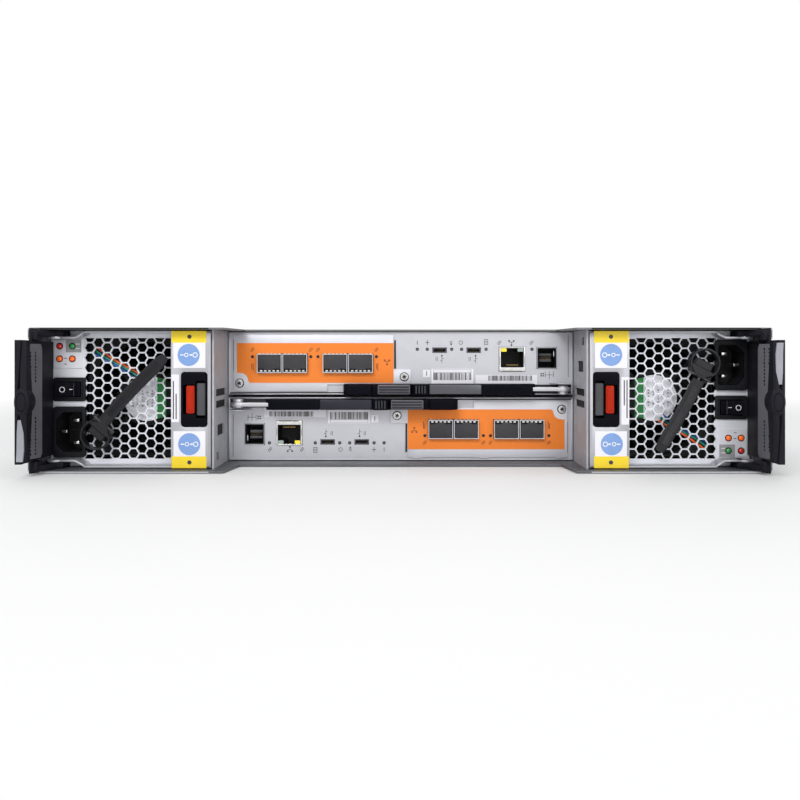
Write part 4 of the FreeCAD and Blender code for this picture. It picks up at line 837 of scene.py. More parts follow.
def make_fan_frame(side, turned):
    """Fan frame with ribbed struts, and the hub with its round label and green band."""
    name = f"power_{side}"
    x, y, z = spans("power_left_fan_housing")
    centre = (sum(x) / 2, sum(z) / 2)
    hub_face = y[0]
    piece = Piece(f"{name}_fan_detail", turned)
    bore = round_outline(centre, 35.5, 64)
    mouth = round_outline(centre, 36.6, 64)
    flange = rounded(x, z, 4, 6)
    piece.prism(flange, "y", (y[0] + 0.02, y[0] + 3.2), "fan_plastic", 0.3, holes=[mouth])
    waist = rounded(x, z, 4, 6, inset=1.2)
    piece.prism(waist, "y", (y[0] + 3.1, y[1] - 3.2), "fan_plastic", holes=[bore])
    piece.prism(flange, "y", (y[1] - 3.3, y[1]), "fan_plastic", 0.3, holes=[bore])
    hub = [(17.9, 3), (17.9, 0.5), (17.4, 0.02), (12.2, 0.02), (12.0, 0.35), (0.05, 0.35), (0.05, 3)]
    piece.lathe(hub, (centre[0], hub_face, centre[1]), "y", "fan_plastic", 48)
    for turn in (45, 135, 225, 315):
        angle = math.radians(turn)
        ahead = Vector((math.cos(angle), 0, math.sin(angle)))
        sections = []
        for reach, width in ((16.5, 2.0), (26, 1.6), (37.0, 2.2)):
            middle = Vector((centre[0], hub_face, centre[1])) + ahead * reach
            sections.append([middle + crosswise(ahead) * (width * share) + Vector((0, depth, 0))
                             for share, depth in ((1, 3.0), (0.6, 0.1), (-0.6, 0.1), (-1, 3.0))])
        piece.loft(sections, "fan_plastic", 0.25)

    radius, reach = 14.6, 6.5
    edge = centre[0] + reach
    chord = math.sqrt(radius ** 2 - reach ** 2)
    low, high = around(centre[1], chord)
    left_part = [point for point in round_outline(centre, radius, 48) if point[0] <= edge]
    label = [(edge, high)] + left_part + [(edge, low)]
    piece.prism(label, "y", (hub_face - 0.08, hub_face + 0.02), "white_label")
    band = [(edge, low), (edge + 5.6, low + 1.2), (edge + 5.6, high - 1.2), (edge, high)]
    piece.prism(band, "y", (hub_face - 0.06, hub_face + 0.02), "green_label")
    for line in range(5):
        first = (centre[0] - 9 + 3.1 * line, hub_face - 0.09, centre[1] - 5 + line % 2)
        piece.row(first, 6, (0, 0, 1.9), (1.5, 0.03, 1.1), "grey_label", 0.6)
    piece.done(name, [f"{name}_fan_housing"])


def make_leads(side, turned):
    """Three coloured leads that lie side by side, each with a slight wave of its own."""
    name = f"power_{side}"
    x, _, z = spans("power_left_fan_housing")
    depth = sum(spans("power_left_fan_leads")[1]) / 2
    lean = math.radians(32)
    along = Vector((-math.cos(lean), 0, math.sin(lean)))
    aside = Vector((math.sin(lean), 0, math.cos(lean)))
    leads = Piece(f"{name}_leads_detail", turned)
    for step, finish in ((1, "wire_orange"), (0, "wire_teal"), (-1, "wire_blue")):
        start = Vector((sum(x) / 2 - 4, depth, sum(z) / 2 + 12.5)) + aside * (1.8 * step)
        points = [start + along * (33.5 * stage / 6) + aside * (0.45 * math.sin(stage / 6 * math.tau + step))
                  for stage in range(7)]
        leads.tube(smooth_path(points, 4), 0.78, finish, 12)
    leads.done(name, [f"{name}_fan_leads"])


def make_rotor(side, turned):
    """The turning hub with seven twisted, cambered blades."""
    name = f"power_{side}"
    _, (start, end), _ = spans(f"{name}_fan_rotor")
    depth = end - start
    frame_x, _, frame_z = spans("power_left_fan_housing")
    middle_x, middle_z = sum(frame_x) / 2, sum(frame_z) / 2
    if turned:
        middle_x, middle_z = -middle_x, SHELF_HEIGHT - middle_z
    rotor = Piece(f"{name}_rotor_detail")
    hub = [(0.05, 0.4), (13.5, 0.4), (15.6, 0.9), (16.7, 2.2), (16.95, 4), (16.95, depth - 0.1),
           (0.05, depth - 0.1)]
    rotor.lathe(hub, (middle_x, start, middle_z), "y", "fan_plastic", 48)
    foil = ((-0.5, 0.0), (-0.2, 0.75), (0.15, 0.8), (0.5, 0.0), (0.15, -0.35), (-0.2, -0.35))
    for blade in range(7):
        sections = []
        for share in (stage / 6 for stage in range(7)):
            radius, chord = 16 + 17.6 * share, 13 + 6 * share
            lean = math.radians(52 - 21 * share)
            ring = []
            for part, thickness in foil:
                lift = (thickness + 1.5 * (1 - (2 * part) ** 2)) * 0.6
                down = depth / 2 + chord * part * math.sin(lean) + lift * math.cos(lean)
                across = chord * part * math.cos(lean) - lift * math.sin(lean)
                angle = blade * math.tau / 7 + 0.25 * share ** 2 + across / radius
                ring.append((middle_x + radius * math.cos(angle), start + min(depth - 0.2, max(0.2, down)),
                             middle_z + radius * math.sin(angle)))
            sections.append(ring)
        rotor.loft(sections, "fan_plastic")
    rotor.done(f"fan_{side}", [f"{name}_fan_rotor"])


MODULE_MAKERS = (make_lamps, make_inlet, make_switch, make_grip, make_handle, make_latch, make_strap,
                 make_fan_frame, make_leads, make_rotor)
for side, turned in SIDES:
    for make in MODULE_MAKERS:
        make(side, turned)


# ---------------------------------------------------------------- controller

CASE_FACE = -272.0  # the plane of the canister's face


def cage_spans():
    """Left and right of each port cage: two pairs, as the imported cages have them."""
    low, high = spans("controller_lower_port_cages")[0]
    width, pitch = 16.2, 16.8
    return [(start, start + width) for start in (low, low + pitch, high - pitch - width, high - width)]


def ring_pair(piece, centre, y, finish="ink"):
    """Two small linked rings, the common key for a link."""
    for across, up in ((-0.45, -0.55), (0.45, 0.55)):
        piece.ring((centre[0] + across, centre[1] + up), y, 0.85, 0.3, finish, 0.04)


def tree_key(piece, centre, y, finish="ink"):
    """Three squares joined by a line, the common key for a network."""
    x, z = centre
    for across, up in ((0, 1.5), (-1.5, -1.3), (1.5, -1.3)):
        piece.mark(around(x + across, 0.6), y, around(z + up, 0.5), finish, 0.04)
    piece.mark(around(x, 0.15), y, (z - 0.9, z + 1.2), finish, 0.03)
    piece.mark(around(x, 1.5), y, around(z - 0.35, 0.15), finish, 0.03)


def ringed_screw(piece, centre):
    """A washer-head screw that sits in a shallow dark ring, with a six-pointed recess."""
    piece.lathe([(3.0, 0.02), (3.0, -0.12), (2.7, -0.14), (0.02, -0.14)], centre, "y", "shadow", 36)
    head = [(2.62, -0.1), (2.62, -0.75), (2.35, -1.05), (1.9, -1.12), (0.02, -1.12)]
    piece.lathe(head, centre, "y", "screw_steel", 36)
    middle = Vector(centre) + Vector((0, -1.15, 0))
    for turn in (15, 75, 135):
        angle = math.radians(turn)
        along = Vector((math.cos(angle), 0, math.sin(angle)))
        aside = crosswise(along)
        bar = [[middle + along * reach + aside * half + Vector((0, lift, 0))
                for half, lift in ((0.32, 0), (0.32, 0.3), (-0.32, 0.3), (-0.32, 0))]
               for reach in (-1.45, 1.45)]
        piece.loft(bar, "shadow")


def make_card(level, turned):
    """Card bracket: stepped plate with its painted field, cut out round cages, slot and screws."""
    name = f"controller_{level}"
    x, y, z = spans("controller_lower_card_bracket")
    cage_z = grown(spans("controller_lower_port_cages")[2], 0.3)
    cages = cage_spans()
    mouths = [rounded((cages[first][0] - 0.3, cages[first + 1][1] + 0.3), cage_z, 0.3) for first in (0, 2)]
    piece = Piece(f"{name}_card_detail", turned)
    low, step, top = z[0] + 0.6, z[1] - 0.5, 40.6
    plate = [(4.9, low), (x[1] + 1.0, low), (x[1] + 1.0, top - 0.8), (x[1] + 0.2, top), (48.5, top),
             (48.5, step), (x[0], step), (x[0], step - 10), (4.9, step - 10)]
    piece.prism(plate, "y", (y[0], y[1] - 0.02), "bracket_sheet", 0.15, holes=mouths)
    face = y[0] - 0.14
    right, bottom, crest = x[1] - 1.0, 8.9, 35.2
    field = [(4.7, bottom), (right, bottom), (right, 28.9), (right - 0.4, 28.5), (104.2, 28.9),
             (102.0, 30.4), (101.2, 32.3), (100.8, 34.0), (99.6, crest), (4.7, crest)]
    piece.prism(field, "y", (face, y[0] + 0.02), "orange_paint", holes=mouths)
    for across in (16.0, 54.7, 59.4, 98.0):
        piece.prism(round_outline((across, 17.9), 1.05, 22), "y", (face - 0.05, face), "shadow")
        ring_pair(piece, (across, 13.3), face, "orange_ink")
    for across in (15.6, 98.0):
        for start, end in ((across - 0.7, 27.2), (across + 0.2, 26.0)):
            piece.mark((start, start + 0.45), face, (22.4, end), "orange_ink", 0.03)
    tree_key(piece, (9.0, 21.6), face, "orange_ink")
    piece.box((3.1, 4.3), (y[1] - 0.15, y[1] - 0.03), (7.0, 25.8), "shadow")
    piece.box((x[1] + 1.0, x[1] + 1.5), (y[1] - 0.15, y[1] - 0.03), (6.5, 27), "shadow")
    piece.box((2.7, 3.1), (y[1] - 0.4, y[1] - 0.03), (6.6, 26.0), "cut_edge", 0.1)
    for tab in ((8, 14), (52, 58), (103, 108)):
        piece.box(tab, (y[0] - 0.02, y[1] - 0.05), (low - 0.55, low + 0.02), "cut_edge", 0.1)
    for across, up in ((-2.4, 31.2), (106.5, 35.4)):
        ringed_screw(piece, (across, y[0], up))
    piece.done(name, [f"{name}_card_bracket"])


def make_cages(level, turned):
    """Bright rims and ground springs round the cage mouths."""
    name = f"controller_{level}"
    _, (y, _), z = spans("controller_lower_port_cages")
    piece = Piece(f"{name}_cage_springs", turned)
    for x in cage_spans():
        start, end = x
        outer, mouth = rounded(x, z, 0.5, 3, inset=0.02), rounded(x, z, 0.4, 3, inset=0.5)
        piece.prism(outer, "y", (y + 0.01, y + 0.4), "blade_nickel", 0.12, holes=[mouth])
        for height in (z[0] - 0.11, z[1] + 0.11):
            first = (start + 1.6, y + 1.9, height)
            piece.row(first, 6, (2.6, 0, 0), (1.5, 2.2, 0.34), "blade_nickel", bevel=0.12)
        first = (start + 2.6, y + 1.1, z[1] - 1.3)
        piece.row(first, 5, (2.75, 0, 0), (1.7, 0.3, 1.2), "blade_nickel", bevel=0.12)
        piece.box((start + 0.6, end - 0.6), (y + 1.6, y + 2.0), (z[1] - 2.6, z[1] - 0.6), "shadow")
    piece.done(name)


def make_plugs(level, turned):
    """Rubber dust plugs with a flat face, a step at the top and a raised rim."""
    name = f"controller_{level}"
    _, y, z = spans("controller_lower_dust_plugs")
    piece = Piece(f"{name}_plug_detail", turned)
    for cage in cage_spans():
        x = grown(cage, -0.8)
        middle = sum(x) / 2
        crest = z[1] - 1.9
        face = [(x[0], z[0] + 0.5), (x[0] + 0.5, z[0]), (x[1] - 0.5, z[0]), (x[1], z[0] + 0.5), (x[1], crest),
                (middle + 3.4, crest), (middle + 2.4, crest + 1.0), (middle - 2.4, crest + 1.0),
                (middle - 3.4, crest), (x[0], crest)]
        piece.prism(face, "y", (y[0] + 0.01, y[0] + 1.6), "plug_rubber", 0.35, 3)
        core = rounded(grown(x, -0.2), (z[0] + 0.2, crest - 0.3), 0.8, 4)
        piece.prism(core, "y", (y[0] + 1.5, y[1]), "plug_rubber", 0.2)
        rim = rounded(grown(x, -1.3), (z[0] + 1.2, crest - 1.1), 0.7, 4)
        piece.prism(rim, "y", (y[0], y[0] + 0.1), "plug_rubber", 0.04)
    piece.done(f"plugs_{level}", [f"{name}_dust_plugs"])


def add_jack(piece, y):
    """Network jack: bright shell, keyed mouth, eight contacts and two lamps."""
    x, z = (-82.4, -65.2), (11.6, 27.6)
    (left, right), (low, high) = x, z
    mouth = [(left + 5.2, low + 0.7), (right - 5.2, low + 0.7), (right - 5.2, low + 3.2),
             (right - 1.4, low + 3.2), (right - 1.4, high - 2.9), (left + 1.4, high - 2.9),
             (left + 1.4, low + 3.2), (left + 5.2, low + 3.2)]
    window = rounded(grown(x, -1.0), (low + 0.6, high - 2.6), 0.3)
    piece.prism(rounded(x, z, 0.7), "y", (y, y + 0.6), "blade_nickel", 0.15, holes=[window])
    shell = rounded(x, z, 0.5, inset=0.5)
    piece.prism(shell, "y", (y + 0.55, y + 13.4), "socket_plastic", holes=[mouth])
    piece.box(grown(x, -0.6), (y + 13.2, y + 17), grown(z, -0.6), "shadow")
    piece.row((left + 5.0, y + 4.4, high - 4.2), 8, (1.02, 0, 0), (0.42, 7, 0.4), "contact_gold")
    for start, finish in ((left + 1.3, "lens_clear"), (right - 4.9, "lens_yellow")):
        lamp_outline = rounded((start, start + 3.6), (low + 0.8, low + 3.0), 0.4)
        piece.prism(lamp_outline, "y", (y + 0.2, y + 0.7), finish, 0.1)
    for edge in (left + 0.5, right - 0.5):
        piece.box(around(edge, 0.25), (y, y + 0.5), (low + 6.5, low + 11), "cut_edge", 0.1)
    piece.box(grown(x, -2), (y, y + 0.3), (high - 0.35, high - 0.05), "shadow")


def add_expansion_port(piece, y):
    """Expansion port: thin bright edge, dark housing, two tongues and a contact block."""
    x, z = (-103.4, -90.2), (11.8, 25.8)
    face = y + 0.8
    cavity = rounded(grown(x, -1.0), (z[0] + 1.0, z[1] - 0.8), 0.4)
    border = rounded(x, z, 0.5, inset=0.35)
    piece.prism(rounded(x, z, 0.8), "y", (y + 0.1, y + 0.7), "cut_edge", 0.1, holes=[border])
    piece.prism(border, "y", (y + 0.2, y + 0.8), "socket_plastic", 0.05, holes=[cavity])
    shell = rounded(x, z, 0.6, inset=0.3)
    piece.prism(shell, "y", (y + 0.6, y + 14.2), "socket_plastic", holes=[cavity])
    piece.box(grown(x, -0.4), (y + 14, y + 18), grown(z, -0.4), "shadow")
    middle = sum(z) / 2
    for lift in (-2.2, 1.7):
        tongue_z = around(middle + lift, 0.8)
        piece.box((x[0] + 3.2, x[1] - 1.8), (face + 2.0, face + 13.5), tongue_z, "finger_grey", 0.2)
    block_z = around(middle, 0.6)
    piece.box((x[0] + 3.0, x[1] - 1.6), (face + 2.4, face + 13.5), block_z, "socket_plastic", 0.15)
    for lift in (0.66, -0.66):
        first = (x[0] + 4.0, face + 6.4, middle + lift)
        piece.row(first, 7, (0.95, 0, 0), (0.45, 7, 0.1), "contact_gold")
    piece.box((x[0] + 1.4, x[0] + 2.0), (face + 1, face + 9), (z[0] + 2.5, z[0] + 6), "blade_nickel", 0.1)


def add_service_port(piece, y, left):
    """Micro port with chamfered lower corners, a tongue and its contacts."""
    right, low, high = left + 9.2, 12.0, 15.2
    centre = ((left + right) / 2, (low + high) / 2)
    shell = [(left + 1.2, low), (right - 1.2, low), (right, low + 1.1), (right, high - 0.3),
             (right - 0.3, high), (left + 0.3, high), (left, high - 0.3), (left, low + 1.1)]
    mouth = shrunk(shell, centre, 0.87, 0.66)
    piece.prism(shell, "y", (y + 0.5, y + 4.5), "brushed_plate", 0.1, holes=[mouth])
    piece.box((left + 0.4, right - 0.4), (y + 4.4, y + 8.7), (low + 0.3, high - 0.3), "shadow")
    piece.box(around(centre[0], 3), (y + 1.4, y + 4.5), (centre[1] - 0.15, centre[1] + 0.45), "black_plastic")
    piece.row((centre[0] - 2, y + 2.6, centre[1] - 0.2), 5, (1.0, 0, 0), (0.4, 2.2, 0.08), "contact_gold")


def make_ports(level, turned):
    """Network jack, expansion port and two service ports."""
    name = f"controller_{level}"
    y = spans("controller_lower_ports")[1][0]
    piece = Piece(f"{name}_port_detail", turned)
    add_jack(piece, y)
    add_expansion_port(piece, y)
    for left in (-53.0, -30.4):
        add_service_port(piece, y, left)
    piece.done(name, [f"{name}_ports"])


def make_lever(level, turned):
    """Ejector lever: steel arm on its pin, moulded grip with a flat strip, knuckle and tip."""
    name = f"controller_{level}"
    x, (front, back), z = spans("controller_lower_lever")
    low, high = z
    full = grown(z, -0.02)
    pivot, tip = x[0] + 4.7, x[1]
    hub = (pivot, back - 4.8)
    grip, flat, knuckle, catch = pivot + 18.5, pivot + 53, pivot + 88, pivot + 100
    end = catch + 25.2
    piece = Piece(f"{name}_lever_detail", turned)
    arm = [(grip + 2, back - 1.2), (pivot + 3, back - 1.2), *round_outline(hub, 4.7, 14, 60, 240),
           (pivot + 3, back - 8.4), (grip + 2, back - 8.4)]
    pin = round_outline(hub, 1.75, 20)
    collar = round_outline(hub, 3.2, 28)
    piece.prism(arm, "z", (low + 2.2, low + 4.6), "cut_edge", 0.15, holes=[pin])
    piece.prism(collar, "z", (low + 4.5, high - 0.2), "cut_edge", 0.2, holes=[pin])
    piece.prism(collar, "z", (low + 1.2, low + 2.3), "cut_edge", 0.2, holes=[pin])

    handle = [(grip, back), (grip, front + 4.2), (grip + 1.5, front + 2.6), (grip + 5.5, front + 1.62),
              (flat + 0.5, front + 1.62), (flat + 0.5, back)]
    piece.prism(handle, "z", full, "black_plastic", 0.6, 3)
    first = (grip + 10, front + 1.62, (low + high) / 2)
    piece.row(first, 9, (2.4, 0, 0), (1.0, 0.35, 4.8), "black_plastic", bevel=0.15)
    waist = [(flat, back), (flat, front + 2.9), (knuckle + 0.5, front + 2.9), (knuckle + 0.5, back)]
    piece.prism(waist, "z", full, "black_plastic", 0.4)
    strip = rounded((flat + 0.8, knuckle - 0.6), (low + 0.4, high - 0.5), 0.6)
    # The upper lever's strip takes the paler brushed_plate and the lower's a near-black copy: painted light
    # from above on the upper, painted shade under the upper controller on the lower.
    strip_shading = "brushed_plate" if turned else "lever_strip"
    piece.prism(strip, "y", (front + 2.42, front + 3.1), strip_shading, 0.2)

    knob = [(knuckle, back), (knuckle, front + 1.0), (knuckle + 1.2, front + 0.05),
            (catch - 3.4, front + 0.05), (catch - 1.6, front + 1.6), (catch - 0.3, front + 3.3),
            (catch - 0.3, back)]
    piece.prism(knob, "z", full, "black_plastic", 0.5, 3)
    first = (knuckle + 2.4, front + 0.2, (low + high) / 2)
    piece.row(first, 4, (1.9, 0, 0), (0.7, 0.35, 5.2), "finger_grey", bevel=0.12)
    rest = [(catch - 0.4, back), (catch - 0.4, front + 3.3), (end, front + 3.3), (end, back)]
    piece.prism(rest, "z", full, "black_plastic", 0.3)
    nose = [(end - 0.2, back), (end - 0.2, front + 1.2), (end + 1.2, front + 1.05), (tip - 4, front + 1.7),
            (tip - 1.2, front + 3.2), (tip - 0.1, front + 5.4), (tip - 0.1, back - 3), (tip - 3, back)]
    piece.prism(nose, "z", full, "black_plastic", 0.7, 3)
    piece.done(f"lever_{level}", [f"{name}_lever"])


def make_catch(level, turned):
    """The sliding catch of the lever, with three grooves for a finger."""
    name = f"controller_{level}"
    x, y, z = spans("controller_lower_lever_catch")
    front = y[0] + 0.35
    slide = Piece(f"{name}_catch_detail", turned)
    slide.prism(rounded(x, z, 0.9), "y", (front, y[1]), "brushed_plate", 0.3, 3)
    size = (x[1] - x[0] - 1.4, 0.65, 1.1)
    slide.row((sum(x) / 2, front, z[0] + 1.3), 3, (0, 0, 1.8), size, "catch_steel", bevel=0.3)
    slide.done(f"catch_{level}", [f"{name}_lever_catch"])


def add_labels(piece, y):
    """White labels with bars of uneven width, and thin frames, but no words."""
    piece.mark((-90.4, -49.6), y, (30.0, 36.2), "white_label", 0.1)
    piece.row((-86.6, y - 0.11, 32.1), 34, (0.86, 0, 0), (0.8, 0.03, 3.4), "ink", 0.8)
    piece.mark((-48.2, -20.4), y, (26.0, 36.2), "white_label", 0.1)
    piece.row((-46.4, y - 0.11, 31.0), 30, (0.84, 0, 0), (0.78, 0.03, 4.8), "ink", 0.8)
    for up in (28.2, 26.5):
        piece.mark((-46.8, -21.6), y - 0.1, (up, up + 0.18), "ink", 0.03)
    for across in (-46.8, -21.8):
        piece.mark((across, across + 0.18), y - 0.1, (26.5, 28.3), "ink", 0.03)
    piece.mark((-19.4, -14.8), y, (26.6, 31.4), "white_label", 0.1)
    piece.mark((-17.4, -16.9), y - 0.1, (27.4, 30.6), "ink", 0.03)


def add_port_keys(piece, y):
    """Small printed keys beside the lamps and above the ports."""
    ring_pair(piece, (-86.6, 8.6), y)
    ring_pair(piece, (-65.4, 8.6), y)
    tree_key(piece, (-73.4, 8.8), y)
    piece.ring((-39.8, 8.6), y, 1.35, 0.32)
    piece.ring((-33.4, 8.4), y, 0.9, 0.3)
    bars = [((-33.9, -32.9), (9.4, 10.3))]
    bars += [((-57.8, -55.4), (up, up + 0.35)) for up in (6.4, 7.5, 8.6, 9.7)]
    bars += [((-17.9, -17.5), (6.9, 10.2)), ((-19.0, -16.4), (8.3, 8.7)), ((-11.2, -10.8), (7.2, 10.0))]
    for across in (-49.6, -27.3):
        bars += [(around(across, 0.15), (17.2, 22.2)), ((across - 1.3, across), (19.0, 19.3)),
                 ((across, across + 1.3), (20.2, 20.5))]
        piece.prism(round_outline((across, 17.3), 0.6, 14), "y", (y - 0.05, y), "ink")
    for across in (-45.7, -23.8):
        bars += [((across - 0.6, across - 0.3), (18.0, 20.8)), ((across + 0.3, across + 0.6), (18.0, 20.8))]
    bars += [(around(across, 0.15), (27.6, top))
             for across, top in ((-101.2, 31.6), (-98.5, 33.0), (-95.8, 31.6))]
    bars += [((-101.2, -95.8), (29.8, 30.1))]
    bars += [(around(across, 0.5), (up, up + 0.9)) for across in (-94.5, -93.1) for up in (28.7, 30.1)]
    for x, z in bars:
        piece.mark(x, y, z, thick=0.04)
    for across in (-57.9, -55.5):
        piece.mark((across, across + 0.25), y, (6.4, 10.05), thick=0.05)


def make_face(level, turned):
    """Hems, flanges, labels, lamps and keys on the canister's face, and the lever's ear and pin."""
    name = f"controller_{level}"
    x, _, (low, _) = spans("controller_lower_case")
    y, high = CASE_FACE, 43.0
    piece = Piece(f"{name}_face_detail", turned)
    for height in (low + 0.05, high - 0.65):
        piece.box(grown(x, -0.6), (y - 0.35, y + 0.1), (height, height + 0.6), "cut_edge", 0.15)
    for start in (x[0] + 0.1, x[1] - 1.3):
        piece.box((start, start + 1.2), (y - 0.45, y + 0.1), (low + 0.3, high - 0.9), "cut_edge", 0.2)
    piece.box((x[0] + 3.0, x[0] + 3.35), (y - 0.05, y + 0.1), (low + 2, low + 30), "ink")
    add_labels(piece, y)
    for across in (-87.0, -56.6, -40.4, -33.8, -17.6, -11.0):
        piece.prism(round_outline((across, 13.0), 1.12, 20), "y", (y - 0.05, y + 0.02), "shadow")
        dome = [(0.75, 0.2), (0.75, -0.05), (0.55, -0.22), (0.02, -0.3)]
        piece.lathe(dome, (across, y, 13.15), "y", "grip_side", 18)
    add_port_keys(piece, y)
    piece.box((x[0] + 3.0, x[0] + 26.5), (y - 0.08, y + 0.05), (40.0, high - 0.05), "shadow")
    piece.mark((-113.4, -76), y, (36.4, 42.9), "shadow", 0.05)
    piece.mark((-76, 113.4), y, (41.4, 42.9), "shadow", 0.05)
    ear = [(-112.2, y), (-112.2, -282.3), (-109.2, -284.3), (-102.2, -284.3), (-98.2, y)]
    piece.prism(ear, "z", (35.2, 35.58), "bright_sheet", 0.08)
    pin = [(1.45, 0.0), (1.45, 0.35), (1.0, 0.6), (0.02, 0.62)]
    piece.lathe(pin, (-106.2, -278.3, 42.0), "z", "cut_edge", 20)
    piece.done(name)


CONTROLLER_MAKERS = (make_card, make_cages, make_plugs, make_ports, make_lever, make_catch, make_face)
for level, turned in LEVELS:
    for make in CONTROLLER_MAKERS:
        make(level, turned)


# ---------------------------------------------------------------- chassis and drives

# heads on the side walls, as radius and rise
RIVET = ((2.2, 0.0), (2.1, 0.3), (1.5, 0.62), (0.02, 0.72))
FLAT_SCREW = ((3.4, 0.0), (3.4, 0.04), (3.0, 0.06))
SCREW_RECESS = ((1.4, 0.05), (1.4, 0.09))


def add_head(piece, centre, out, profile, finish="screw_steel", sides=16):
    """A rivet, a screw or its recess on a side wall, facing out."""
    piece.lathe([(radius, rise * out) for radius, rise in profile], centre, "x", finish, sides)


def make_chassis():
    """Rear corner posts with painted highlights, sheet edges, painted shade along the cover's rear edge and
    in the divider slots, rivets and screws of the enclosure.
    """
    wall_x, (rear, _), _ = spans("chassis_tray")
    top = spans("top_cover")[2][1]
    piece = Piece("chassis_detail")
    post = [(0.02, 0), (2.5, 0), (3.3, 0.8), (3.3, 6.8), (2.5, 7.6), (0.02, 7.6)]
    for across in (wall_x[0] - 1.7, wall_x[1] + 1.7):
        for low in (0, top - 7.6):
            piece.lathe(post, (across, rear + 3.0, low), "z", "dark_sheet", 28)
            # Bright bands near both ends of each post: painted highlights on its rounded edges.
            for end in (low + 0.9, low + 6.1):
                piece.lathe([(3.36, 0), (3.36, 0.6)], (across, rear + 3.0, end), "z", "cut_edge", 28)
    # A dark strip under the cover's rear edge is painted shade; the bright strip along the tray's lower edge
    # is its cut edge.
    for span in ((wall_x[0] + 3, -116), (116, wall_x[1] - 3)):
        piece.box(span, (rear - 0.12, rear + 0.02), (top - 1.15, top - 0.05), "shadow")
        piece.box(span, (rear - 0.12, rear + 0.02), (0.05, 0.75), "cut_edge")

    # Dark boxes inside the divider wall at each slot: painted shade, so the slots look dark.
    for out in (-1, 1):
        wall = sorted((115.82 * out, 116.0 * out))
        for height, half, start, end in (
                (47.7, 2.4, -300, -276), (40.3, 2.4, -300, -276),
                (MIDDLE + 20 * out, 3.5, -297, -281), (MIDDLE + 36 * out, 2.5, -299, -293)):
            piece.box(wall, (start - 0.4, end + 0.4), around(height, half + 0.3), "shadow")
    for wall, out in zip(wall_x, (-1, 1)):
        for height in (8.5, 79.5):
            for step in range(9):
                add_head(piece, (wall, -285 + 60 * step, height), out, RIVET)
        for step in range(4):
            place = (wall, -150 + 110 * step, MIDDLE)
            add_head(piece, place, out, FLAT_SCREW)
            add_head(piece, place, out, SCREW_RECESS, "shadow", 6)
    piece.done("chassis")


